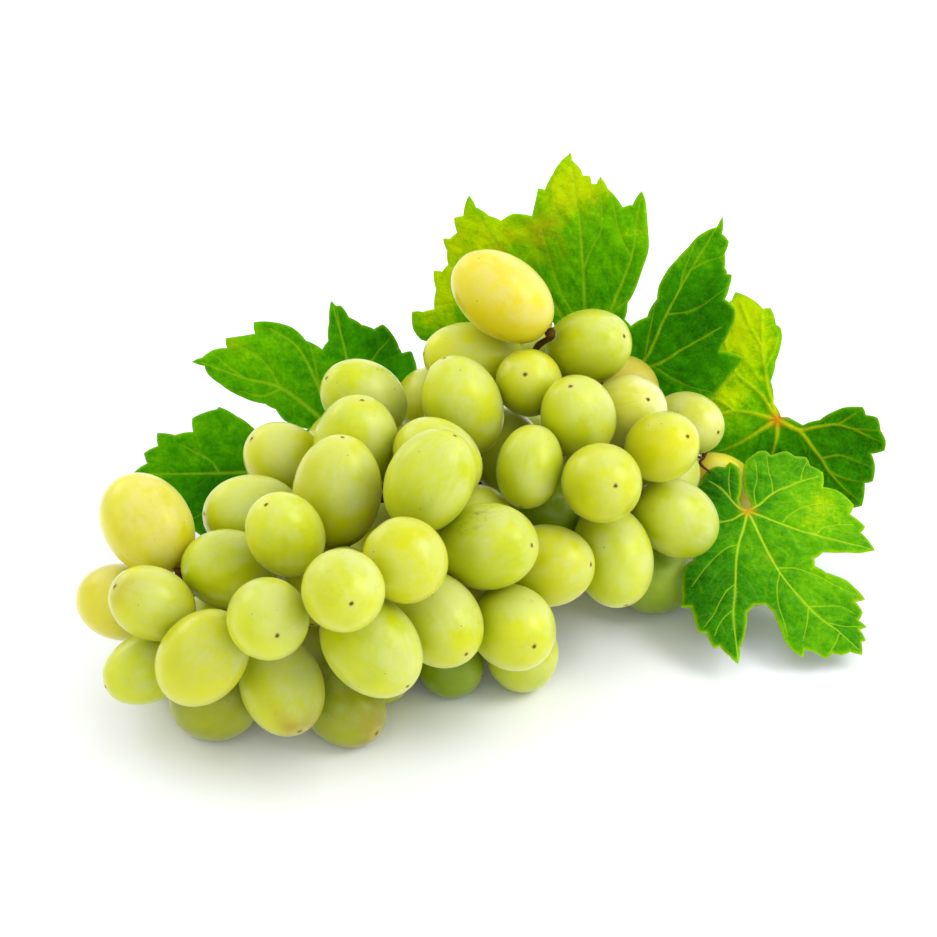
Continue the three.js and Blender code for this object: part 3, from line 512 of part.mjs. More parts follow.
function leafSolid(leaf) {
  const origin = vector(leaf.origin);
  const across = vector(leaf.across);
  const along = vector(leaf.along);
  const upper = vector(leaf.upper);
  const points = leaf.outline.map((p) => [p[0], p[1]]);
  const contour = points.map((p) => new THREE.Vector2(p[0], p[1]));
  const flat = THREE.ShapeUtils.triangulateShape(contour, []).map((t) => {
    const [a, b, c] = t.map((i) => points[i]);
    const turn = (b[0] - a[0]) * (c[1] - a[1]) - (b[1] - a[1]) * (c[0] - a[0]);
    return turn > 0 ? t : [t[0], t[2], t[1]];
  });
  const triangles = refined(points, flat, LEAF_EDGE);
  const at = ([a, b], side) => {
    const bend = leaf.bend[0] * a * a + leaf.bend[1] * a * b + leaf.bend[2] * b * b;
    return origin
      .clone()
      .add(across.clone().multiplyScalar(a))
      .add(along.clone().multiplyScalar(b))
      .add(upper.clone().multiplyScalar(bend + (side * LEAF_THICKNESS) / 2));
  };
  const faces = [];
  const face = (a, b, c) => faces.push(a.x, a.y, a.z, b.x, b.y, b.z, c.x, c.y, c.z);
  const edges = new Map();
  for (const [a, b, c] of triangles) {
    face(at(points[a], 1), at(points[b], 1), at(points[c], 1));
    face(at(points[a], -1), at(points[c], -1), at(points[b], -1));
    for (const [i, k] of [[a, b], [b, c], [c, a]]) {
      if (edges.has(k + "-" + i)) edges.delete(k + "-" + i);
      else edges.set(i + "-" + k, [i, k]);
    }
  }
  for (const [i, k] of edges.values()) {
    face(at(points[i], 1), at(points[i], -1), at(points[k], -1));
    face(at(points[i], 1), at(points[k], -1), at(points[k], 1));
  }
  const geometry = new THREE.BufferGeometry();
  geometry.setAttribute("position", new THREE.BufferAttribute(new Float32Array(faces), 3));
  return solidOf(geometry).add(limbSolid(leaf.petiole, PETIOLE_RADIUS));
}

const bunch = new THREE.Group();

function piece(name, solid, color, roughness) {
  const mesh = new THREE.Mesh(geometryOf(solid), new THREE.MeshStandardMaterial({ color, roughness }));
  mesh.name = name;
  bunch.add(mesh);
}

for (const [name, skin, centre, direction, halfLength, halfWidth] of BERRIES)
  piece(name, berrySolid(centre, direction, halfLength, halfWidth), SKIN[skin], 0.35);

for (const [name, sprig] of Object.entries(SPRIGS))
  piece(
    name,
    joined([
      ...sprig.berries.map((b) => berrySolid(...b)),
      ...sprig.twigs.map((t) => limbSolid(...t)),
    ]),
    SKIN.green,
    0.35,
  );

piece("rachis", joined(LIMBS.map((t) => limbSolid(...t))), STALK, 0.7);

for (const [name, leaf] of Object.entries(LEAVES)) piece(name, leafSolid(leaf), LEAF_GREEN[name], 0.55);

export default bunch;
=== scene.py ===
"""A bunch of white grapes with four vine leaves, lying on a pale studio floor."""
import math

import bpy
import mathutils
import numpy as np
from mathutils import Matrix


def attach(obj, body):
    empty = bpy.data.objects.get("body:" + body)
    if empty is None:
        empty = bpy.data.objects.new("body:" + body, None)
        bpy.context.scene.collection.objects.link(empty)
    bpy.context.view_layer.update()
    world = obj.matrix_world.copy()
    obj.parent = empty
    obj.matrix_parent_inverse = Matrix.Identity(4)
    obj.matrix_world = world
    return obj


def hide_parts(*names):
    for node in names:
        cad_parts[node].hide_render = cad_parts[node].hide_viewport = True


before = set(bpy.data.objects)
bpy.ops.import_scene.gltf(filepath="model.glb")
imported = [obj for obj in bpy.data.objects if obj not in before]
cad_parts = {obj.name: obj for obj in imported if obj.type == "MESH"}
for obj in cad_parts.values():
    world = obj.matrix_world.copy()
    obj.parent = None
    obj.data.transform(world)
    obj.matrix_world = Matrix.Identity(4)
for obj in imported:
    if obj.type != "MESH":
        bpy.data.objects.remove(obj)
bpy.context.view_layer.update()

# Berries: name, skin, centre, direction from the stalk end to the free end, half length, half width (mm)
BERRIES = [
    ("berry_01", "yellow", (-80.23, -20.45, 43.93), (-0.565, 0.693, 0.448), 13.14, 10.34),
    ("berry_02", "yellow", (-86.54, -24.14, 24.8), (-0.901, 0.418, -0.115), 11.46, 9.02),
    ("berry_03", "green", (-77.71, -44.39, 37.95), (-0.789, -0.228, 0.571), 10.68, 8.41),
    ("berry_04", "green", (-60.81, -32.08, 39.26), (-0.846, -0.379, 0.376), 11.67, 9.19),
    ("berry_05", "green", (-56.14, -12.74, 41.58), (-0.939, -0.28, 0.199), 12, 9.45),
    ("berry_06", "green", (-65.78, -58.29, 32.65), (-0.615, -0.092, -0.783), 12.33, 9.71),
    ("berry_07", "green", (-79.64, -44.79, 20.47), (-0.863, -0.478, -0.163), 10.82, 8.03),
    ("berry_08", "olive", (-64.75, -42.05, 9), (-0.79, 0.515, -0.332), 11.49, 9.05),
    ("berry_09", "green", (-48.49, -51.55, 20.14), (0.339, -0.804, -0.489), 12.17, 9.58),
    ("berry_10", "green", (-47.39, -39.1, 53.32), (-0.365, -0.263, 0.893), 11.04, 8.7),
    ("berry_11", "green", (-36.11, -20.52, 52.82), (0.118, 0.188, 0.975), 13.77, 10.25),
    ("berry_12", "green", (-50.46, -64.68, 47.53), (0.204, -0.945, 0.255), 11.5, 9.06),
    ("berry_13", "green", (-33.48, -69.17, 58.12), (0.203, -0.924, 0.323), 11.61, 9.14),
    ("berry_14", "green", (-49.06, 6.81, 43.97), (-0.683, -0.185, 0.707), 11.34, 8.93),
    ("berry_15", "green", (-32.27, -0.08, 52.84), (0.108, -0.007, 0.994), 12.65, 9.96),
    ("berry_16", "green", (-35.34, 28.57, 34.7), (-0.625, 0.664, -0.41), 11.7, 9.21),
    ("berry_17", "green", (-14.73, -30.49, 62.11), (0.466, 0.109, 0.878), 12.84, 9.99),
    ("berry_18", "green", (-13.03, -9.78, 55.17), (-0.742, 0.638, 0.206), 11.5, 9.05),
    ("berry_19", "green", (-20.05, -53.65, 55.82), (0.6, -0.424, -0.678), 9.91, 9.44),
    ("berry_20", "green", (-1.71, -32.25, 45.57), (0.827, -0.457, 0.327), 12.67, 9.98),
    ("berry_21", "green", (-13.13, -46, 34.71), (0.548, -0.8, -0.245), 12.53, 9.87),
    ("berry_22", "green", (-27.75, -60.42, 37.52), (0.628, -0.695, -0.351), 13.45, 10.4),
    ("berry_23", "olive", (-35.01, -42.99, 8.79), (0.724, -0.63, -0.28), 11.34, 8.93),
    ("berry_24", "deep", (-10.11, -24.98, 7.2), (0.954, -0.16, -0.255), 7.9, 7.52),
    ("berry_25", "green", (6.81, -23.95, 10.2), (0.01, 0.307, -0.952), 10.74, 8.46),
    ("berry_26", "green", (4.19, -38.19, 27.25), (0.385, -0.905, 0.182), 12.26, 9.66),
    ("berry_27", "green", (12, -19.74, 32.03), (0.854, -0.431, 0.291), 12.22, 9.62),
    ("berry_28", "green", (28.05, -8.85, 27.69), (0.233, -0.763, -0.603), 12.72, 9.5),
    ("berry_29", "green", (24.98, -13.26, 50.78), (0.228, -0.856, 0.464), 11.76, 9.26),
    ("berry_30", "green", (8.41, -6.15, 50.83), (-0.201, -0.715, -0.669), 10.21, 7.66),
    ("berry_31", "green", (19.99, 7.71, 55.95), (-0.195, -0.309, 0.931), 11.31, 8.9),
    ("berry_32", "green", (8.55, 21.23, 57.18), (-0.114, -0.74, 0.663), 10.16, 8),
    ("berry_33", "green", (22.99, 33.9, 59.75), (0.729, -0.478, 0.491), 11.48, 9.04),
    ("berry_34", "pale", (32.03, 22.04, 47.94), (0.384, -0.595, 0.706), 11.8, 9.29),
    ("berry_35", "green", (39.59, 3.19, 50.46), (0.535, -0.558, 0.634), 10.43, 8.21),
    ("berry_36", "pale", (47.79, 37.76, 35.97), (0.733, -0.672, 0.105), 9.64, 7.59),
    ("berry_37", "green", (31.69, 45.36, 40.86), (0.51, 0.688, -0.516), 10.92, 8.6),
    ("berry_38", "green", (43.46, 4.08, 29.93), (0.759, 0.097, -0.643), 11.4, 8.98),
    ("berry_39", "pale", (41.37, 22.37, 30.86), (0.511, 0.728, -0.456), 10.44, 8.22),
    ("berry_40", "yellow", (56.89, 41.09, 13.87), (0.647, 0.042, -0.761), 11.32, 8.91),
    ("berry_41", "deep", (39.4, 9.95, 9.12), (0.546, 0.705, -0.452), 11.34, 8.93),
    ("berry_42", "deep", (13.27, 3.91, 31.76), (-0.2, -0.519, -0.831), 8.56, 8.09),
    ("berry_43", "green", (-4, -8.68, 37.75), (0.376, 0.804, -0.46), 10.43, 8.21),
    ("berry_44", "green", (-7.25, 11.84, 56.48), (-0.344, 0.224, 0.912), 12.58, 9.38),
    ("berry_45", "green", (-14.62, 40.24, 40.26), (-0.405, 0.799, -0.444), 11.16, 8.79),
    ("berry_46", "green", (-30.85, 20.62, 53.21), (-0.768, -0.159, 0.621), 11.36, 8.94),
    ("berry_47", "green", (-4.55, 34.69, 56.13), (-0.962, -0.167, 0.216), 12.66, 8.68),
    ("berry_48", "yellow", (2.25, 32.74, 74.31), (-0.799, 0.283, 0.531), 13.62, 9.72),
]

SPRIGS = {
    "sprig_a": {
        "berries": [
            ((-27.54, -25.25, 8.43), (0.323, -0.915, -0.24), 10.84, 8.63),
            ((-37.21, 7.49, 8.38), (-0.325, 0.934, 0.147), 10.18, 8.7),
            ((-45.51, -5.72, 21.73), (-0.823, 0.525, -0.215), 9.87, 8.18),
            ((-41.03, 12.08, 26.18), (-0.327, 0.945, 0.004), 10.23, 8.43),
            ((-21.25, -6.05, 9.38), (-0.111, 0.748, -0.654), 10.98, 8.68),
        ],
        "twigs": [
            (((-33.88, -3.75, 6.8), (-33.88, -5.25, 6.8), (-33.88, -8.25, 9.8), (-32.38, -9.75, 11.3), (-32.38, -12.75, 11.3)), (1.1, 1.1, 1.1, 1.1, 1.1)),
            (((-35.38, -11.25, 24.8), (-32.38, -11.25, 21.8), (-32.38, -11.25, 11.3)), (1.1, 1.1, 1.1)),
            (((-36.88, 0.75, 26.3), (-35.38, -2.25, 26.3), (-33.88, -3.75, 24.8), (-33.88, -5.25, 23.3), (-33.88, -11.25, 23.3)), (1.1, 1.1, 1.1, 1.1, 1.1)),
            (((-20.38, -15.75, 18.8), (-21.88, -17.25, 17.3), (-26.38, -17.25, 18.8), (-32.38, -11.25, 18.8)), (0.73, 1.1, 1.1, 1.1)),
            (((-32.38, -12.75, 11.3), (-30.78, -16.06, 11.18)), (0.85, 0.85)),
            (((-20.38, -15.75, 18.8), (-20.11, -13.67, 16.39)), (0.85, 0.85)),
            (((-33.88, -3.75, 6.8), (-34.16, -1.26, 7.35)), (0.85, 0.85)),
            (((-36.88, 0.75, 26.3), (-37.94, 3.16, 26.15)), (0.85, 0.85)),
            (((-35.38, -11.25, 24.8), (-38.05, -10.49, 23.67)), (0.85, 0.85)),
        ],
    },
    "sprig_b": {
        "berries": [
            ((-12.43, 3.68, 25.36), (0.305, 0.642, -0.703), 9.93, 7.91),
            ((-21.33, -12.05, 29.1), (0.192, -0.433, -0.88), 9.95, 8.23),
            ((-13.78, 18.1, 37.23), (-0.028, 0.999, -0.025), 11.2, 9.17),
            ((-41.5, -22.31, 29.24), (-0.06, -0.796, -0.602), 10.66, 8.57),
            ((-19.25, -29.96, 24.32), (0.882, -0.388, -0.266), 10.43, 8.41),
            ((-33.66, -38.02, 37.72), (0.171, -0.912, -0.372), 10.43, 8.49),
        ],
        "twigs": [
            (((-23.38, -6.75, 39.8), (-23.38, -5.25, 39.8), (-21.88, -5.25, 39.8), (-20.38, -3.75, 38.3), (-15.88, -3.75, 33.8)), (1.1, 1.1, 1.1, 1.1, 1.1)),
            (((-12.88, 5.25, 35.3), (-17.38, 5.25, 35.3), (-20.38, 2.25, 35.3), (-21.88, 0.75, 36.8), (-21.88, -0.75, 38.3), (-20.38, -3.75, 38.3)), (1.1, 1.1, 1.1, 1.1, 1.1, 1.1)),
            (((-41.38, -12.75, 36.8), (-39.88, -12.75, 38.3), (-33.88, -12.75, 38.3), (-30.88, -12.75, 41.3), (-27.88, -9.75, 44.3), (-23.38, -9.75, 44.3), (-23.38, -5.25, 39.8)), (1.1, 1.1, 1.1, 1.1, 1.1, 1.1, 1.1)),
            (((-30.88, -24.75, 27.8), (-30.88, -17.25, 27.8), (-32.38, -15.75, 27.8), (-32.38, -14.25, 29.3), (-33.88, -12.75, 30.8), (-35.38, -12.75, 32.3), (-35.38, -12.75, 38.3)), (1.1, 1.1, 1.1, 1.1, 1.1, 1.1, 1.1)),
            (((-32.38, -26.25, 39.8), (-27.88, -26.25, 38.3), (-26.38, -26.25, 36.8), (-24.88, -24.75, 35.3), (-24.88, -21.75, 32.3), (-29.38, -21.75, 27.8), (-30.88, -21.75, 27.8)), (1.1, 1.1, 1.1, 1.1, 1.1, 1.1, 1.1)),
            (((-15.88, -3.75, 33.8), (-15.22, -2.18, 31.78)), (0.85, 0.85)),
            (((-12.88, 5.25, 35.3), (-13.49, 7.7, 37.48)), (0.85, 0.85)),
            (((-30.88, -24.75, 27.8), (-27.75, -26.22, 26.88)), (0.85, 0.85)),
            (((-41.38, -12.75, 36.8), (-40.92, -14.46, 35.18)), (0.85, 0.85)),
            (((-23.38, -6.75, 39.8), (-23.09, -8.08, 37.16)), (0.85, 0.85)),
            (((-32.38, -26.25, 39.8), (-35.31, -29.23, 41.31)), (0.85, 0.85)),
        ],
    },
    "sprig_c": {
        "berries": [
            ((38.98, 31.52, 9.9), (-0.009, 0.772, -0.635), 11.65, 9.19),
            ((22.92, 20.32, 10.08), (-0.605, 0.317, -0.731), 11.43, 9.15),
            ((22.2, 23.49, 29.76), (-0.243, 0.931, -0.273), 11.11, 9.01),
            ((19.74, 40.49, 18.2), (-0.579, 0.805, -0.13), 9.81, 7.99),
            ((36.33, 45.54, 23.16), (0.207, 0.978, -0.01), 10.4, 8.28),
            ((12.21, 45.7, 48.59), (-0.154, -0.591, -0.792), 9.26, 7.55),
        ],
        "twigs": [
            (((32.12, 15.75, 18.8), (33.62, 15.75, 18.8), (39.62, 21.75, 18.8)), (1.1, 1.1, 1)),
            (((24.62, 11.25, 33.8), (23.12, 9.75, 32.3), (26.12, 9.75, 29.3), (27.62, 11.25, 27.8), (29.12, 11.25, 26.3), (33.62, 11.25, 24.8), (35.12, 12.75, 23.3), (35.12, 14.25, 21.8), (35.12, 14.25, 20.3), (33.62, 15.75, 18.8)), (1.1, 1.1, 1.1, 1.1, 1.1, 1.1, 1.1, 1.1, 1.1, 1.1)),
            (((26.12, 30.75, 20.3), (29.12, 27.75, 20.3), (32.12, 23.25, 17.3), (36.62, 18.75, 18.8)), (1.1, 1.1, 0.99, 1.1)),
            (((33.62, 33.75, 23.3), (30.62, 32.25, 23.3), (27.62, 29.25, 20.3)), (1.1, 1.1, 1.1)),
            (((14.12, 51.75, 57.8), (8.12, 51.75, 57.8), (6.62, 50.25, 57.8), (2.12, 45.75, 53.3), (2.12, 45.75, 51.8), (2.12, 41.25, 47.3), (6.62, 36.75, 42.8), (8.12, 36.75, 41.3), (12.62, 36.75, 41.3), (26.12, 36.75, 27.8), (30.62, 32.25, 23.3)), (1.1, 1.1, 1.1, 1.1, 1.1, 1.1, 1.1, 1.1, 1.1, 1.1, 1.1)),
            (((39.62, 21.75, 18.8), (39.08, 23.14, 17.15)), (0.85, 0.85)),
            (((32.12, 15.75, 18.8), (29.35, 16.95, 18.2)), (0.85, 0.85)),
            (((24.62, 11.25, 33.8), (24.71, 13.9, 32.57)), (0.85, 0.85)),
            (((33.62, 33.75, 23.3), (34.35, 36.14, 23.26)), (0.85, 0.85)),
            (((26.12, 30.75, 20.3), (24.95, 33.25, 19.38)), (0.85, 0.85)),
            (((14.12, 51.75, 57.8), (13.51, 50.7, 55.29)), (0.85, 0.85)),
        ],
    },
    "sprig_d": {
        "berries": [
            ((-2.52, -6.78, 9.88), (0.097, -0.755, -0.649), 11.47, 9.23),
            ((4.39, 12.82, 9.98), (-0.108, 0.701, -0.705), 11.15, 9.46),
            ((-15.87, 13.31, 8.66), (-0.681, 0.719, -0.138), 10.57, 8.98),
            ((-15.75, 33.02, 23.19), (-0.684, 0.727, 0.062), 11.27, 8.9),
            ((2.95, 33.87, 30.35), (-0.446, 0.577, 0.685), 11.23, 9.4),
        ],
        "twigs": [
            (((5.12, 3.75, 20.3), (-2.38, 3.75, 20.3), (-3.88, 3.75, 18.8)), (1.1, 1.1, 1.1)),
            (((-6.88, 3.75, 9.8), (-6.88, 5.25, 11.3), (-6.88, 5.25, 14.3), (-3.88, 5.25, 17.3), (-3.88, 3.75, 18.8)), (0.88, 1.1, 1.1, 1.1, 1.1)),
            (((-6.88, 23.25, 21.8), (-6.88, 21.75, 21.8), (-2.38, 17.25, 21.8), (-2.38, 8.25, 21.8), (-2.38, 6.75, 20.3), (-2.38, 3.75, 20.3)), (1.1, 1.1, 1.1, 1.1, 1.1, 1.1)),
            (((8.12, 26.25, 21.8), (8.12, 21.75, 21.8), (6.62, 20.25, 20.3), (3.62, 20.25, 20.3), (2.12, 18.75, 21.8), (0.62, 17.25, 21.8), (-2.38, 17.25, 21.8)), (0.99, 1.1, 1.1, 1.1, 1.1, 1.1, 1.1)),
            (((-3.88, 3.75, 18.8), (-3.55, 1.28, 17.16)), (0.85, 0.85)),
            (((5.12, 3.75, 20.3), (5.51, 5.56, 17.63)), (0.85, 0.85)),
            (((-6.88, 3.75, 9.8), (-9.22, 6.28, 10.35)), (0.85, 0.85)),
            (((-6.88, 23.25, 21.8), (-8.6, 25.41, 22.54)), (0.85, 0.85)),
            (((8.12, 26.25, 21.8), (7.59, 27.85, 23.21)), (0.85, 0.85)),
        ],
    },
    "sprig_e": {
        "berries": [
            ((4.94, 51.24, 23.27), (0.763, -0.359, 0.537), 10.3, 8.52),
            ((-7.59, 50.2, 10.83), (-0.777, -0.472, 0.415), 7.49, 6.44),
            ((-19.45, 52.67, 23.74), (-0.326, -0.157, 0.932), 10.48, 8.99),
            ((5.63, 41.67, 8.12), (0.793, -0.074, -0.605), 9.33, 7.93),
            ((-27.4, 30.73, 8.55), (0.794, -0.556, -0.246), 10.09, 8.81),
            ((-27.58, 47.92, 7.64), (0.718, 0.049, 0.694), 8.5, 7.49),
        ],
        "twigs": [
            (((-0.88, 54.75, 6.8), (-0.88, 57.75, 9.8), (-0.88, 57.75, 11.3), (-3.88, 57.75, 14.3), (-5.38, 56.25, 15.8)), (1.1, 1.1, 1.1, 1.1, 1.1)),
            (((-15.88, 54.75, 12.8), (-12.88, 57.75, 12.8), (-9.88, 57.75, 15.8), (-6.88, 57.75, 15.8), (-5.38, 56.25, 15.8)), (0.86, 1.1, 1.1, 1.1, 1.1)),
            (((-3.88, 42.75, 15.8), (-5.38, 42.75, 15.8), (-5.38, 45.75, 18.8), (-6.88, 47.25, 20.3), (-6.88, 53.25, 20.3), (-6.88, 57.75, 15.8)), (1.1, 1.1, 1.1, 1.1, 1.1, 1.1)),
            (((-36.88, 36.75, 11.3), (-36.88, 38.25, 12.8), (-33.88, 41.25, 15.8), (-29.38, 41.25, 15.8), (-27.88, 42.75, 17.3), (-23.38, 42.75, 17.3), (-21.88, 42.75, 15.8), (-12.88, 42.75, 15.8), (-11.38, 41.25, 15.8), (-6.88, 41.25, 15.8), (-5.38, 42.75, 15.8)), (1.05, 1.1, 1.1, 1.1, 1.1, 1.1, 1.1, 1.1, 1.1, 1.1, 1.1)),
            (((-35.38, 47.25, 0.8), (-36.88, 45.75, 2.3), (-36.88, 39.75, 8.3), (-36.88, 39.75, 11.3), (-36.88, 38.25, 12.8)), (1.1, 1.1, 1.1, 1.1, 1.1)),
            (((-5.38, 56.25, 15.8), (-2.31, 54.66, 18.16)), (0.85, 0.85)),
            (((-36.88, 36.75, 11.3), (-34.78, 35.89, 11.19)), (0.85, 0.85)),
            (((-15.88, 54.75, 12.8), (-16.29, 54.19, 14.71)), (0.85, 0.85)),
            (((-3.88, 42.75, 15.8), (-1.13, 42.3, 13.63)), (0.85, 0.85)),
            (((-35.38, 47.25, 0.8), (-33.1, 47.55, 2.65)), (0.85, 0.85)),
            (((-0.88, 54.75, 6.8), (-2.39, 53.36, 8.05)), (0.85, 0.85)),
        ],
    },
    "sprig_f": {
        "berries": [
            ((-73.32, -22.82, 9.98), (-0.801, 0.216, -0.559), 11.78, 9.61),
            ((-47.38, -21.35, 9.78), (0.765, -0.268, -0.585), 11.2, 9.52),
            ((-63.04, -7.12, 13.97), (0.129, 0.415, -0.901), 10.17, 8.57),
            ((-57.53, 7.48, 28.08), (-0.132, 0.977, 0.164), 9.68, 8.04),
        ],
        "twigs": [
            (((-57.88, -17.25, 17.3), (-59.38, -18.75, 17.3), (-59.38, -23.25, 17.3), (-62.38, -26.25, 17.3)), (1.1, 1.1, 1.1, 1.1)),
            (((-63.88, -12.75, 24.8), (-63.88, -14.25, 24.8), (-59.38, -18.75, 20.3), (-59.38, -18.75, 17.3)), (1.1, 1.1, 1.1, 1.1)),
            (((-56.38, -3.75, 26.3), (-56.38, -5.25, 26.3), (-62.38, -11.25, 26.3), (-63.88, -12.75, 24.8)), (1.1, 1.1, 1.1, 1.1)),
            (((-62.38, -26.25, 17.3), (-64.53, -25.2, 16.47)), (0.85, 0.85)),
            (((-57.88, -17.25, 17.3), (-55.34, -18.56, 16.22)), (0.85, 0.85)),
            (((-63.88, -12.75, 24.8), (-64.25, -11.01, 22.41)), (0.85, 0.85)),
            (((-56.38, -3.75, 26.3), (-56.35, -1.2, 26.62)), (0.85, 0.85)),
        ],
    },
}

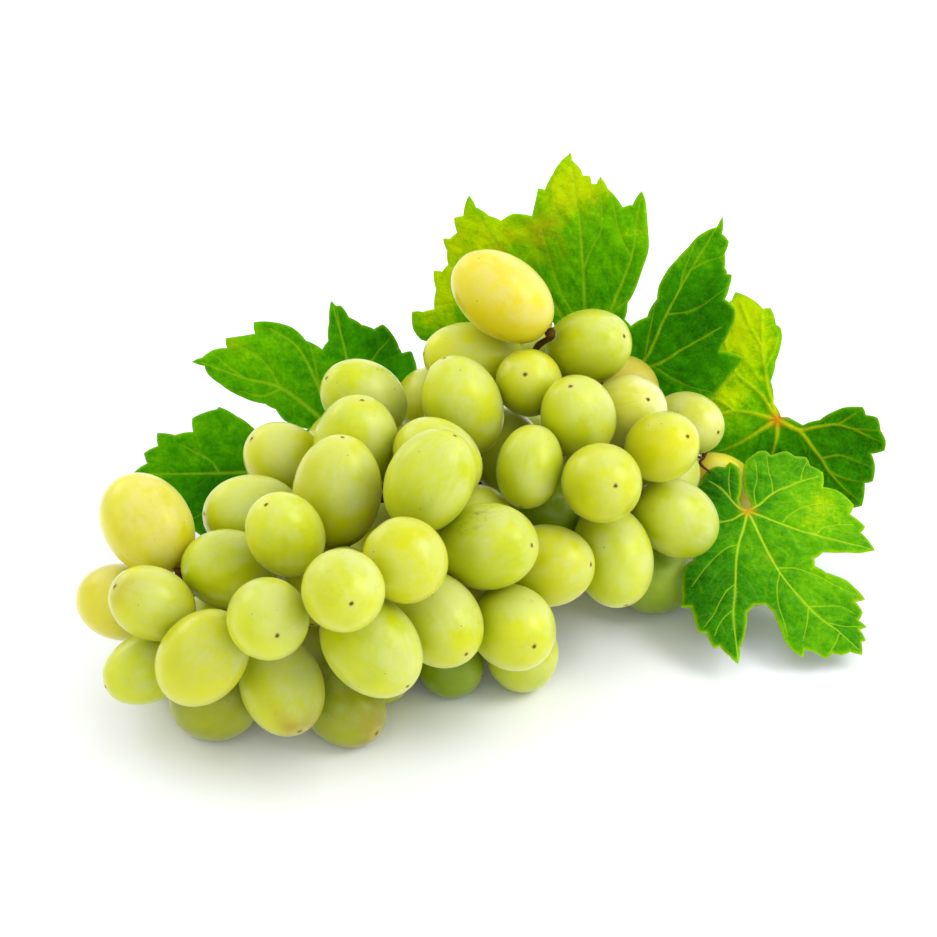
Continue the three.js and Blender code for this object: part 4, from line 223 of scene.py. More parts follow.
# Stalks: points, a radius at each, and whether the first end holds a berry
LIMBS = [
    (((-15.88, -12.75, 39.8), (-15.88, -6.75, 39.8)), (1.25, 1.25), 0),
    (((36.62, 32.25, 32.3), (38.12, 33.75, 30.8)), (2.2, 2.2), 0),
    (((13.57, 28.72, 66.79), (14.12, 29.25, 65.3), (10.19, 32.07, 60.8), (10.09, 32.63, 57.8), (12.72, 32.25, 51.8), (21.62, 32.25, 42.8)), (0.8, 0.8, 0.8, 0.8, 0.8, 0.8), 1),
    (((-52.81, -41.33, 26.35), (-53.38, -39.75, 27.8), (-48.88, -35.25, 30.8)), (0.8, 0.8, 0.8), 1),
    (((1.08, -14.24, 28.32), (-0.88, -12.75, 27.8), (2.12, -8.25, 27.8)), (0.8, 0.8, 0.8), 1),
    (((35.76, 14.37, 35.87), (35.12, 14.25, 36.8), (38.12, 12.75, 39.8)), (0.8, 0.8, 0.8), 1),
    (((-72.49, -29.93, 37.8), (-72.88, -30.75, 35.3), (-69.88, -27.75, 32.39), (-63.88, -22.31, 32.3), (-60.88, -21.75, 32.3), (-53.38, -21.84, 33.89), (-47.38, -25.68, 39.24), (-41.38, -27.75, 39.8)), (0.8, 0.8, 0.8, 0.8, 0.8, 0.8, 0.8, 0.8), 1),
    (((-44.36, -9.22, 39.08), (-41.38, -8.25, 38.3), (-36.88, -6.65, 37.27), (-32.38, -2.25, 36.89), (-24.88, 3.66, 41.21), (-9.88, 3.75, 41.21), (-6.88, 3.75, 39.8)), (0.8, 0.8, 0.8, 0.8, 0.8, 0.8, 0.8), 1),
    (((33.62, 11.25, 41.3), (44.12, 18.19, 41.21), (48.62, 18.75, 38.3)), (1.25, 1.25, 0.34), 0),
    (((20.12, 20.25, 41.3), (20.12, 21.75, 41.3)), (1.25, 1.25), 0),
    (((-18.16, -23.63, 9.71), (-18.88, -21.75, 12.8), (-8.47, -9.75, 24.71), (-1.91, -0.75, 27.89), (2.12, 2.25, 33.8)), (0.8, 0.8, 0.8, 0.8, 0.8), 1),
    (((15.62, 32.25, 47.3), (21.62, 32.25, 42.8)), (1.25, 1.25), 0),
    (((15.09, 8.64, 39.34), (14.12, 9.75, 41.3), (15.62, 17.25, 41.3)), (0.8, 0.8, 0.8), 1),
    (((33.62, 23.25, 23.3), (35.22, 27.75, 23.3), (45.62, 38.25, 24.8)), (1.25, 1.25, 1.25), 0),
    (((-3.88, 3.75, 36.8), (2.12, 2.25, 35.3)), (0.3, 0.3), 0),
    (((8.15, 36.9, 53.28), (9.62, 36.75, 53.3), (15.62, 32.25, 47.3)), (0.8, 0.8, 0.8), 1),
    (((-27.88, -39.75, 47.3), (-26.28, -24.75, 42.71), (-23.38, -17.25, 41.3)), (1.25, 1.25, 1.25), 0),
    (((6.7, -27.42, 21.29), (6.62, -26.25, 23.3), (0.62, -20.25, 23.3)), (0.8, 0.8, 0.8), 1),
    (((51.62, 36.75, 26.3), (53.12, 42.75, 27.8)), (0.34, 1.48), 0),
    (((10.19, 8.25, 48.8), (18.53, 17.25, 41.86), (20.12, 20.25, 41.3)), (0.3, 0.3, 0.3), 0),
    (((32.91, 1.57, 14.84), (32.12, 0.75, 15.8), (30.62, 8.25, 21.71), (30.72, 18.75, 21.89), (33.62, 23.25, 23.3)), (0.8, 0.8, 0.8, 0.8, 0.8), 1),
    (((-11.38, 23.25, 48.71), (-3.88, 23.35, 48.8), (2.12, 27.75, 48.8)), (0.3, 0.3, 0.3), 0),
    (((40.32, 44.61, 34.9), (41.12, 47.25, 33.8), (44.12, 48.66, 33.71), (47.12, 48.19, 32.21), (53.12, 42.75, 27.8)), (0.8, 0.8, 0.8, 0.8, 0.8), 1),
    (((-21.88, -15.75, 41.3), (-21.88, -14.25, 41.3)), (1.41, 1.41), 0),
    (((-45.88, -35.25, 27.8), (-42.88, -35.25, 30.8)), (1.25, 1.25), 0),
    (((20.12, 21.75, 41.3), (21.72, 29.25, 40.74), (27.62, 32.25, 38.3)), (2.08, 2.08, 2.13), 0),
    (((48.62, 18.75, 38.3), (49.61, 24.69, 34.34), (50.63, 30.81, 30.26), (51.62, 36.75, 26.3)), (0.34, 0.34, 0.34, 0.34), 0),
    (((-5.38, 3.75, 38.3), (-3.88, 3.75, 36.8)), (2.19, 2.19), 0),
    (((-55.23, -48.25, 13.35), (-53.38, -47.25, 11.3), (-50.94, -44.25, 10.46), (-50.38, -37.31, 17.3), (-49.81, -36.28, 23.3), (-45.88, -35.25, 27.8)), (0.8, 0.8, 0.8, 0.8, 0.8, 0.8), 1),
    (((-36.54, -50.7, 42.42), (-36.88, -48.75, 42.8), (-32.38, -44.25, 46.74), (-27.88, -39.75, 47.3)), (0.8, 0.8, 0.8, 0.8), 1),
    (((53.36, 31.72, 25.29), (50.12, 32.25, 27.8), (51.62, 36.75, 26.3)), (0.34, 0.34, 0.34), 0),
    (((38.12, 12.75, 39.8), (44.12, 14.72, 39.8), (48.62, 18.75, 38.3)), (1.25, 1.25, 0.34), 0),
    (((-50.48, -27.45, 34.67), (-48.88, -26.25, 35.3), (-45.88, -27.28, 39.24), (-41.38, -27.75, 39.8)), (0.3, 0.3, 0.3, 0.8), 0),
    (((-69.83, -39.35, 22.32), (-68.38, -38.25, 23.3), (-63.88, -35.34, 27.24), (-54.88, -35.25, 28.27), (-50.38, -35.25, 30.8)), (0.8, 0.8, 0.8, 0.8, 0.8), 1),
    (((-11.38, -17.25, 44.3), (-14.28, -12.75, 42.89), (-14.28, -6.75, 42.8), (-11.38, -2.25, 42.71), (-6.88, 2.25, 39.8)), (1.25, 1.25, 1.25, 1.25, 1.25), 0),
    (((50.12, 42.75, 26.3), (53.12, 42.75, 27.8)), (2.2, 2.2), 0),
    (((-47.38, -39.75, 35.3), (-42.88, -35.25, 30.8)), (1.25, 1.25), 0),
    (((25.84, 37.46, 46.78), (24.62, 35.25, 47.3), (27.72, 33.75, 39.89), (38.12, 33.75, 30.8)), (0.8, 0.8, 0.8, 0.8), 1),
    (((-68.85, -41.82, 31.54), (-66.88, -41.25, 30.8), (-57.88, -40.78, 30.8), (-50.38, -35.25, 30.8)), (0.8, 0.8, 0.8, 0.8), 1),
    (((33.72, 9.32, 43.5), (32.12, 11.25, 41.3), (33.62, 11.25, 41.3)), (0.8, 0.8, 0.8), 1),
    (((-48.88, -35.25, 30.8), (-42.88, -35.25, 30.8)), (1.33, 1.33), 0),
    (((-43.62, -35.5, 12.47), (-45.88, -33.75, 12.8), (-47.38, -33.75, 23.3), (-45.88, -35.25, 27.8)), (0.8, 0.8, 0.8, 0.8), 1),
    (((-21.88, -14.25, 41.3), (-15.88, -6.75, 39.8)), (1.93, 1.93), 0),
    (((2.12, 2.25, 33.8), (2.12, 2.25, 35.3)), (1.41, 1.41), 0),
    (((2.12, 2.25, 35.3), (5.22, 6.75, 39.24), (15.62, 17.25, 41.3)), (0.3, 0.3, 0.3), 0),
    (((26.12, 32.25, 39.8), (27.62, 32.25, 38.3)), (1.54, 1.54), 0),
    (((34.38, 2.92, 37.62), (32.12, 2.25, 39.8), (32.69, 6.75, 39.8), (38.12, 12.75, 39.8)), (0.8, 0.8, 0.8, 0.8), 1),
    (((-15.88, -6.75, 39.8), (-6.88, 2.25, 39.8)), (1.44, 1.44), 0),
    (((2.12, -8.25, 27.8), (2.12, -2.25, 28.36), (2.12, 2.25, 33.8)), (1.33, 1.33, 1.33), 0),
    (((-3.97, -19.12, 46.36), (-11.38, -17.25, 44.3)), (0.3, 0.3), 0),
    (((-27.68, 20.43, 39.73), (-26.38, 18.75, 39.8), (-24.31, 11.25, 39.8), (-17.38, 3.75, 39.8)), (0.8, 0.8, 0.8, 0.8), 1),
    (((21.62, 32.25, 42.8), (26.12, 32.25, 39.8)), (1.33, 1.33), 0),
    (((-27.88, 6.75, 39.8), (-17.38, 3.75, 39.8)), (1.25, 1.25), 0),
    (((-33.88, -24.75, 36.8), (-29.38, -21.75, 35.3)), (1.41, 1.41), 0),
    (((14.23, 39.65, 53.84), (12.62, 38.25, 53.3), (15.62, 32.25, 47.3)), (0.8, 0.8, 0.8), 1),
    (((-35.95, -57.93, 54.19), (-36.88, -54.75, 53.3), (-36.31, -50.25, 52.74), (-30.88, -44.25, 47.86), (-27.88, -39.75, 47.3)), (0.8, 0.8, 0.8, 0.8, 0.8), 1),
    (((-24.97, -41.25, 54.8), (-24.88, -30.75, 44.39), (-23.38, -17.25, 41.3)), (0.3, 0.3, 0.3), 0),
    (((22.3, 11.38, 44.91), (23.12, 12.75, 42.8), (20.12, 20.25, 41.3)), (0.8, 0.8, 0.8), 1),
    (((-2.73, 8.9, 44.51), (-3.88, 8.25, 42.8), (-5.28, 6.66, 39.8), (-3.88, 3.75, 36.8)), (0.3, 0.3, 0.3, 0.8), 0),
    (((-57.86, -57.11, 42.73), (-56.38, -54.75, 42.8), (-55.81, -48.75, 42.24), (-47.38, -39.75, 35.3)), (0.8, 0.8, 0.8, 0.8), 1),
    (((-40.95, 9, 35.56), (-38.38, 8.25, 35.3), (-35.38, 7.22, 37.74), (-27.88, 6.75, 39.8)), (0.8, 0.8, 0.8, 0.8), 1),
    (((-37.8, -23.21, 38.86), (-35.38, -24.75, 36.8), (-33.88, -24.75, 36.8)), (0.3, 0.3, 0.3), 0),
    (((-8.13, -17.51, 42.8), (-9.88, -18.75, 44.3), (-11.38, -17.25, 44.3)), (0.8, 0.8, 0.8), 1),
    (((-0.74, -26.6, 24.92), (-0.88, -24.75, 24.8), (0.62, -20.25, 23.3)), (0.8, 0.8, 0.8), 1),
    (((23.12, 30.75, 41.3), (26.12, 32.25, 39.8)), (1.33, 1.33), 0),
    (((9.78, 29.15, 50.08), (9.62, 30.75, 48.8), (15.62, 30.75, 43.92), (23.12, 30.75, 41.3)), (0.8, 0.8, 0.8, 0.8), 1),
    (((22.17, -2.72, 45.07), (21.62, -0.75, 44.3), (26.12, 3.75, 41.39), (33.62, 11.25, 41.3)), (0.8, 0.8, 0.8, 0.8), 1),
    (((27.29, 29.39, 39.22), (27.62, 30.75, 38.3), (36.62, 32.25, 32.3)), (0.8, 0.8, 0.8), 1),
    (((-29.38, -21.75, 35.3), (-21.88, -14.25, 41.3)), (1.78, 1.78), 0),
    (((15.62, 17.25, 41.3), (20.12, 21.75, 41.3)), (2.2, 2.2), 0),
    (((-20.31, -35.54, 37.91), (-21.88, -33.75, 38.3), (-21.78, -20.25, 38.39), (-15.88, -12.75, 39.8)), (0.8, 0.8, 0.8, 0.8), 1),
    (((24.97, 1.27, 35.7), (24.62, 2.25, 36.8), (25.19, 6.75, 36.24), (31.56, 14.25, 29.3), (33.62, 23.25, 23.3)), (0.8, 0.8, 0.8, 0.8, 0.8), 1),
    (((-75.72, -29.16, 26.18), (-74.38, -29.25, 26.3), (-68.38, -24.84, 29.21), (-60.88, -24.18, 29.3), (-50.38, -14.25, 29.39), (-44.38, -9.84, 32.21), (-38.38, -9.75, 31.74), (-35.38, -9.65, 29.3), (-32.38, -8.15, 26.39), (-29.38, -5.25, 25.46), (-24.88, -1.31, 29.3), (-17.38, -0.75, 36.24), (-3.88, 3.75, 36.8)), (0.8, 0.8, 0.8, 0.8, 0.8, 0.8, 0.8, 0.8, 0.8, 0.8, 0.8, 0.8, 0.8), 1),
    (((-52.92, -53.29, 44.46), (-53.38, -51.75, 44.3), (-52.81, -45.75, 40.83), (-47.38, -39.75, 35.3)), (0.8, 0.8, 0.8, 0.8), 1),
    (((-42.88, -35.25, 30.8), (-38.38, -34.78, 28.36), (-33.97, -32.15, 28.27), (-29.38, -21.75, 35.3)), (1.59, 1.59, 1.59, 1.59), 0),
    (((-17.38, 3.75, 39.8), (-6.88, 3.75, 39.8)), (1.33, 1.33), 0),
    (((-41.38, -27.75, 39.8), (-33.88, -24.75, 36.8)), (1.33, 1.33), 0),
    (((49.21, 40.59, 22.9), (48.62, 41.25, 24.8), (50.12, 42.75, 26.3)), (0.34, 0.8, 0.8), 1),
    (((-23.38, -17.25, 41.3), (-21.88, -15.75, 41.3)), (1.33, 1.33), 0),
    (((45.62, 38.25, 24.8), (50.12, 42.75, 26.3)), (2.2, 2.2), 0),
    (((-6.88, 2.25, 39.8), (-5.38, 3.75, 38.3)), (2.07, 2.07), 0),
    (((27.62, 32.25, 38.3), (30.62, 32.25, 37.74), (36.62, 32.25, 32.3)), (2.2, 2.2, 2.2), 0),
    (((-50.38, -35.25, 30.8), (-48.88, -35.25, 30.8)), (1.25, 1.25), 0),
    (((-20.98, -31.94, 50.35), (-21.88, -32.25, 48.8), (-21.88, -26.25, 43.36), (-21.88, -15.75, 41.3)), (0.8, 0.8, 0.8, 0.8), 1),
    (((38.12, 33.75, 30.8), (45.62, 38.25, 24.8)), (2.06, 2.06), 0),
    (((-33.69, 0.02, 39.72), (-33.88, 0.75, 38.3), (-27.88, 6.75, 39.8)), (0.8, 0.8, 0.8), 1),
    (((-12.65, -26.21, 41.25), (-15.88, -24.75, 39.8), (-15.88, -12.75, 39.8)), (0.8, 0.8, 0.8), 1),
    (((-9.88, 30.88, 45.46), (-8.38, 27.75, 47.3), (2.12, 27.75, 48.8)), (0.8, 0.8, 0.8), 1),
    (((0.62, -20.25, 23.3), (0.62, -14.25, 23.86), (2.12, -8.25, 27.8)), (1.25, 1.25, 1.25), 0),
    (((2.12, 27.75, 48.8), (23.12, 30.75, 41.3)), (1.25, 1.25), 0),
    (((-43.15, -36.05, 42.97), (-42.88, -33.75, 41.3), (-41.38, -27.75, 39.8)), (0.8, 0.8, 0.8), 1),
    (((-6.88, 3.75, 39.8), (-5.38, 3.75, 38.3)), (1.41, 1.41), 0),
    (((50.78, 56.44, 26.04), (53.12, 42.75, 27.8)), (2.3, 2.1), 0),
]

LEAVES = {
    "leaf_left": {
        "origin": (-36.96, 40.97, 28.77),
        "across": (0.9953, 0.0824, -0.0507),
        "along": (-0.0099, 0.6086, 0.7934),
        "upper": (0.0962, -0.7892, 0.6066),
        "bend": (-0.001030, 0.000017, -0.000992),
        "outline": ((-50.9, -7.4), (-47.7, -5.2), (-48.5, -2.7), (-45.1, -1), (-45.3, 2.2), (-40.9, 1.7), (-36.5, 2.4), (-36.7, 5.8), (-30.6, 8), (-30.2, 8.6), (-25.7, 6.2), (-22.3, 3.8), (-20.1, 1.3), (-12.8, 0.3), (-8.3, 3), (-14.1, 5.1), (-16.2, 7.9), (-18.8, 9.2), (-24.8, 11.1), (-29.7, 14.1), (-32.9, 16.8), (-33.6, 18.7), (-36.7, 19.8), (-34.2, 20.8), (-31.5, 22.7), (-28.1, 23.2), (-28.4, 25.6), (-21.2, 26.7), (-21.5, 29.6), (-16.7, 29.6), (-11.8, 28.1), (-8.7, 25), (-4.7, 22.8), (-3.2, 24.8), (-2.9, 29.6), (-2.4, 34.9), (-1.2, 33.7), (0.1, 33.7), (2, 30.8), (5.2, 28.9), (8.2, 27.9), (10.4, 29.1), (12.7, 26.6), (14.4, 23.1), (15, 21.9), (17.3, 22.4), (18, 20.8), (18.7, 17.9), (15.4, 12.2), (11.4, 6.7), (7.4, 2.2), (3.4, -1.7), (-0.5, -5.2), (-5, -8.1), (-10.4, -12.5), (-18.2, -15.7), (-25.1, -21.3), (-33.7, -23.7), (-40.2, -19.2), (-46.6, -14.8)),
        "mains": 4,
        "veins": (
            ((0, 0), (-5.4, 5.7), (-14.7, 13.1), (-23.7, 15.6), (-34.7, 19.7)),
            ((0, 0), (-5.3, 12.6), (-10.6, 23.1), (-17.7, 28.1)),
            ((0, 0), (2.5, 10.2), (1.2, 21.1), (-1.9, 33.6)),
            ((0, 0), (-10.4, -6.2), (-23.3, -7.6), (-45.1, -7.9), (-50.4, -7.4)),
            ((2.5, 10.2), (7.6, 20.1), (12.1, 25.6)),
            ((-30.4, -7.5), (-32.4, -4.6), (-39.7, -0.6)),
            ((-23.3, -7.6), (-28.7, -14.4), (-37.3, -19.3)),
            ((-14.7, 13.1), (-19.5, 20.1), (-26.8, 24.6)),
            ((-14.7, 13.1), (-19.6, 11.2), (-25, 12.4)),
            ((-5.3, 12.6), (-6.7, 20.1), (-8.2, 25.6)),
            ((1.2, 21.1), (0, 26.6), (-0.9, 32.6)),
            ((-18.2, -7.4), (-19.6, -2.2), (-23, 3.3)),
            ((-12.8, -6.9), (-16.5, -12), (-19.7, -15.5)),
            ((-23.7, 15.6), (-27.9, 18.6), (-31.8, 22.2)),
        ),
        "petiole": ((-37.06, 41.76, 28.17), (-37.8, 42.33, 26.39), (-38.69, 42.91, 24.25), (-39.77, 43.57, 21.55), (-41.04, 44.39, 18.11), (-42.53, 45.45, 13.72), (-44.26, 46.81, 8.2), (-46.26, 48.55, 1.35)),
        "bold": 1.6,
        "fine": 0.12,
        "fade": 0.35,
        "raised": False,
        "tone": 0.41,
        # patches of the blade that are lighter or darker: place, radius, how much
        "patches": ((-26.1, 22.6, 10.7, 0.08), (-12.6, 22.6, 8.3, 0.05), (10.8, 23.9, 9.5, -0.24), (-31.2, -15.6, 10.7, -0.28), (-37.2, 2.4, 9.0, 0.18), (-33.5, 22.7, 2.9, 0.30)),
        # dry, yellowed places
        "spots": ((-26.8, 24.6, 2.4, 0.40),),
    },
    "leaf_top": {
        "origin": (23.66, 55.9, 41.35),
        "across": (0.9954, 0.0823, -0.0487),
        "along": (0.0396, 0.1092, 0.9932),
        "upper": (0.0871, -0.9906, 0.1055),
        "bend": (-0.000747, -0.000135, -0.000504),
        "outline": ((-41.5, 6.4), (-43.6, 9.3), (-44, 13.9), (-41.3, 13.9), (-38.6, 14.8), (-38.3, 19.9), (-39.1, 24.8), (-37, 24.6), (-35.6, 26.5), (-36, 30.2), (-37.1, 33.3), (-35.4, 33.4), (-33.7, 34.9), (-34.6, 38.8), (-32.4, 39.3), (-31.6, 43.8), (-31.2, 44.7), (-29.4, 41.7), (-26.1, 39.4), (-23.2, 38.2), (-20.1, 40.1), (-15.7, 39.6), (-14.5, 46.6), (-12.8, 46.3), (-11, 50.4), (-9.7, 53), (-7.7, 55), (-7, 55.9), (-6.5, 53.8), (-4.4, 51.7), (-3.7, 50), (-2, 50), (-1.4, 47.9), (-0.2, 47.9), (0.6, 49.7), (2.6, 46.6), (6.5, 41.8), (8.8, 42.5), (10.9, 46.1), (12.2, 42.5), (13.3, 34), (13.3, 29.8), (11.4, 23), (9, 16.9), (8.5, 12.6), (10.1, 10.8), (14, 13.1), (16.2, 17.9), (16.7, 22.1), (20.3, 28.1), (25.4, 34.3), (30, 36.6), (31.3, 39.3), (31.4, 34.8), (33.2, 32.8), (32.4, 29.5), (32.6, 26.1), (33.3, 24.3), (34.5, 24), (34.2, 21.1), (33.2, 17.6), (35.9, 14.9), (35.7, 10.6), (32.8, 3.7), (38.8, 1.7), (36.5, -1.8), (32.3, -8), (28.2, -10.7), (21.6, -10), (13.5, -8.2), (4.8, -4.9), (0.1, -2.7), (-5.7, 3.8), (-9.3, 11.8), (-14.4, 9.6), (-22.6, 5.8), (-33.1, 4)),
        "mains": 5,
        "veins": (
            ((0, 0), (-1, 9.7), (-2.5, 25.6), (-4.2, 39.9), (-6.8, 55)),
            ((0, 0.1), (4.1, 12.7), (8.3, 25.4), (9.8, 32.3), (10, 37.9), (10.9, 44.9)),
            ((0, 0), (7.9, 0.5), (13.9, 1.3), (18.7, 13.6), (24.2, 25.5), (30.7, 37.9)),
            ((8, 0.6), (16.2, 0), (23.6, 4.5), (32.8, 10.2)),
            ((0, 0), (-9.8, 17.7), (-20.5, 27.6), (-31.1, 43.5)),
            ((-9.8, 17.7), (-22.6, 17.5), (-38, 15.9), (-43, 13.4)),
            ((-1, 9.7), (-7.9, 20.3), (-13.6, 37.3)),
            ((-2.5, 26), (-0.2, 32.3), (1.5, 36.8), (0.7, 48)),
            ((18.7, 13.8), (24.6, 14.6), (28.3, 16.5), (32.4, 19.9)),
            ((24.2, 25.5), (27.6, 27.5), (32.2, 29)),
            ((16.2, 0), (24.2, -5.1), (32, -7.7)),
            ((-20.5, 27.6), (-27.9, 29.3), (-36.3, 32.5)),
            ((9.4, 29), (6.1, 34.8), (3.6, 44.8)),
            ((13.9, 1.3), (14.6, 7), (15.8, 16.3)),
            ((3.8, 12.9), (6.6, 15.6), (9, 17.7)),
            ((21.8, 20.2), (22.5, 25), (25, 33.3)),
            ((-15.2, 17.6), (-22.4, 12.2), (-36.9, 7.9)),
        ),
        "petiole": ((23.57, 56.89, 41.24), (24.11, 56.09, 38.24), (24.79, 54.82, 34.11), (25.52, 53.26, 29.01), (26.23, 51.62, 23.04), (26.85, 50.1, 16.36), (27.29, 48.91, 9.08), (27.5, 48.24, 1.35)),
        "bold": 1.25,
        "fine": 0.12,
        "fade": 0.35,
        "raised": False,
        "tone": 0.49,
        # patches of the blade that are lighter or darker: place, radius, how much
        "patches": ((-35.9, 33.0, 11.0, 0.66), (-40.2, 17.2, 8.6, 0.50), (-23.3, 35.9, 7.1, 0.30), (-6.3, 47.6, 8.1, 0.55), (2.1, 17.7, 10.7, -0.05), (27.4, 9.5, 14.3, -0.36), (29.9, 30.6, 7.1, -0.10), (-5.6, 23.0, 9.5, 0.08), (12.1, 37.3, 8.1, 0.18), (36.3, 19.4, 2.9, 0.40)),
        # dry, yellowed places
        "spots": ((-12.3, 34.7, 6.2, 0.90), (-5.7, 45.9, 6.2, 0.80), (-23.7, 33.8, 5.7, 0.70), (-34.2, 33.1, 5.2, 0.45)),
    },
    "leaf_right_back": {
        "origin": (70.88, 54.81, 26.39),
        "across": (0.9817, -0.1628, 0.0991),
        "along": (0.0377, 0.6758, 0.7362),
        "upper": (-0.1868, -0.7189, 0.6695),
        "bend": (-0.001406, -0.000079, -0.001280),
        "outline": ((-12.3, 31), (-11.5, 33.1), (-7.7, 31.5), (-4.3, 28.6), (-2.3, 28.7), (-0.9, 24.4), (0.3, 23.6), (0.7, 21), (-0.7, 15.1), (-1.8, 9.9), (-0.9, 4.3), (1, 0.8), (6.5, -1.3), (10.6, 0), (16.1, 3.1), (21.3, 3.4), (22.1, 1.4), (25, 0.7), (25.8, -2.6), (27.1, -5.1), (26.8, -7.5), (23.6, -8.4), (24.5, -11.2), (24.1, -15.3), (22.1, -15.7), (21.5, -21.4), (17.6, -22), (13.6, -19.5), (7.6, -16.6), (1.1, -14.6), (-4, -12.6), (-9.5, -11.1), (-16.1, -10.6), (-19.9, -8), (-21.8, -3.9), (-20.9, 1.1), (-19, 6.2), (-16.7, 12.9), (-15.4, 20.6), (-15.2, 28.8)),
        "mains": 7,
        "veins": (
            ((0, 0), (-0.8, 3.6), (-2.3, 8), (-3.3, 12.9), (-4.2, 18.7), (-4.6, 27.7)),
            ((0, 0), (-3.6, 5.8), (-7.2, 9.1), (-10.5, 11.8), (-12.6, 16.5), (-13.9, 21)),
            ((0, 0), (-5.6, 1.5), (-10.9, 2.2), (-15.2, 1), (-20, -0.1)),
            ((0, 0), (-6.4, -4.3), (-12.4, -7.4), (-18.9, -8.6)),
            ((0, 0), (0.1, -4.3), (-1, -9.1), (-1.2, -13.1)),
            ((0, 0), (3.1, -1.7), (6.1, -3.2), (9.3, -7.4), (11.4, -10), (13.2, -13), (17.1, -17.3), (20.6, -20.2)),
            ((0, 0), (3.1, -1.5), (6.1, -2.6), (10.4, -1.8), (15.1, -1.2), (19, -2.2), (25, -2.6)),
            ((11.4, -9.7), (15.7, -9), (19.6, -10.3), (23.4, -11.8)),
            ((13.2, -13.1), (17.5, -14.9), (21.8, -15.5)),
            ((-10.9, 2.2), (-13.3, 4.1), (-16.2, 5.4)),
            ((-10.5, 11.8), (-13.7, 8.5), (-16.2, 5)),
            ((15.1, -1.3), (18.5, 1), (21, 2.7)),
            ((19, -2.2), (22.9, -4.2), (25.9, -5.4)),
            ((-3.3, 12.9), (-1.3, 17.3), (-0.1, 22.2)),
            ((-4.2, 18.7), (-7.2, 23.6), (-10, 30)),
        ),
        "petiole": ((71.07, 55.53, 25.72), (74.48, 58.4, 23.79), (77.23, 60.73, 20.54), (79.71, 62.88, 16.75), (82.1, 65.02, 13.08), (84.4, 67.11, 9.3), (86.57, 69.14, 5.39), (88.61, 71.09, 1.35)),
        "bold": 1.5,
        "fine": 0.05,
        "fade": 0.9,
        "raised": True,
        "tone": 0.36,
        # patches of the blade that are lighter or darker: place, radius, how much
        "patches": ((-8.7, 24.4, 11.9, 0.80), (-13.9, 3.9, 7.6, 0.34), (20.7, -6.2, 13.1, -0.30), (-0.2, -12.6, 8.6, -0.28), (-8.9, 5.1, 8.1, 0.20)),
        # dry, yellowed places
        "spots": ((-11.2, 23.2, 4.8, 0.30),),
    },
    "leaf_right_front": {
        "origin": (62.07, 22.59, 20.11),
        "across": (0.9953, 0.0816, -0.0522),
        "along": (-0.0632, 0.9554, 0.2885),
        "upper": (0.0734, -0.2838, 0.9561),
        "bend": (-0.001256, 0.000409, -0.000507),
        "outline": ((-10.6, 9.5), (-9, 12.8), (-6.1, 14.9), (-4.1, 14.4), (-2.7, 16), (-0.9, 14.3), (-0.6, 10), (-0.8, 7.5), (-1.9, 3.9), (-1.7, 1.8), (-0.5, 0.5), (0.7, 0.7), (1.1, 2.3), (0.6, 4.6), (-0.1, 7.3), (0, 10.2), (1, 16), (4.6, 19.6), (6.6, 19.7), (7.7, 18.3), (11.9, 19.7), (13.7, 18.1), (16.5, 17.9), (17.1, 15.1), (20.1, 13), (19.5, 8.1), (22.9, 7.3), (26.6, 2.7), (25.2, -0.3), (28.5, -4.1), (27.3, -5.9), (30.1, -11.1), (24.9, -12.6), (17, -12.6), (14.6, -14.6), (14.5, -17.1), (17, -19.1), (21.6, -20.7), (23.6, -23.2), (25.7, -26.6), (23.1, -27.6), (24.6, -30.7), (23.4, -33), (25.1, -34.7), (23.3, -35.7), (24.4, -38.9), (23.3, -39.2), (22.9, -43.3), (20.1, -42.4), (17.8, -43.6), (15.8, -42.9), (14, -44.6), (11.8, -43.1), (9.2, -42.2), (8.5, -44.5), (6.7, -43.2), (5.1, -40.8), (4, -36.1), (2.9, -31.3), (1.3, -28.9), (-1.5, -29), (-3.6, -31.4), (-4.3, -36.1), (-6.4, -42), (-7.3, -46.7), (-9, -44.4), (-11.1, -41.4), (-12.6, -42), (-14, -37.5), (-15.7, -37.5), (-16.4, -32.1), (-16.9, -29.6), (-19.2, -29.6), (-18.5, -26.3), (-18.3, -22.3), (-17.2, -17.1), (-15, -15.3), (-13.6, -10.6), (-13.7, -4.3), (-14.2, 0.5), (-14.2, 5.4)),
        "mains": 6,
        "veins": (
            ((0, 0), (-1.7, -5.7), (-3.4, -10.6), (-4.6, -16.3), (-5.8, -25.4), (-6.9, -32), (-7.1, -39.5), (-7.2, -45.6)),
            ((0, 0), (2.1, -8), (5.1, -17.8), (8.5, -24.8), (11.5, -29.6), (15.3, -34.3), (18.2, -37), (22.4, -42)),
            ((0, 0), (4.5, -2.4), (8.5, -4.2), (12.7, -6.4), (15.9, -7.2), (20.8, -8.9), (29.1, -11)),
            ((0, 0), (2.8, 1.9), (6.8, 5.7), (10.7, 7.9), (14.3, 9.9), (18.5, 11.3)),
            ((0, 0), (-2, 0.9), (-3.9, 4), (-5.7, 7.2), (-8.4, 9.9)),
            ((0, 0), (-3.9, -2.5), (-7.7, -3.5), (-13.6, -4.1)),
            ((8.2, -3.3), (10.9, -0.4), (15.2, 2.1), (19.7, 2.8), (24, 2)),
            ((16, -7), (18.4, -4.8), (22.2, -3.7), (25.9, -3.5)),
            ((5.1, -17.8), (9.6, -17.8), (14.8, -20.1), (18.4, -22.7), (22.5, -24.7)),
            ((5.7, -19.2), (4.5, -24), (4.3, -28.9), (5, -33.7), (5.5, -38.5)),
            ((11.5, -29.6), (16.3, -29), (19.8, -29.3), (22.8, -31.3)),
            ((11.5, -29.6), (10.6, -34.5), (9, -39.8)),
            ((-3.4, -10.6), (-6.3, -11.7), (-9.4, -14.4), (-12.7, -18.5), (-16, -23.4)),
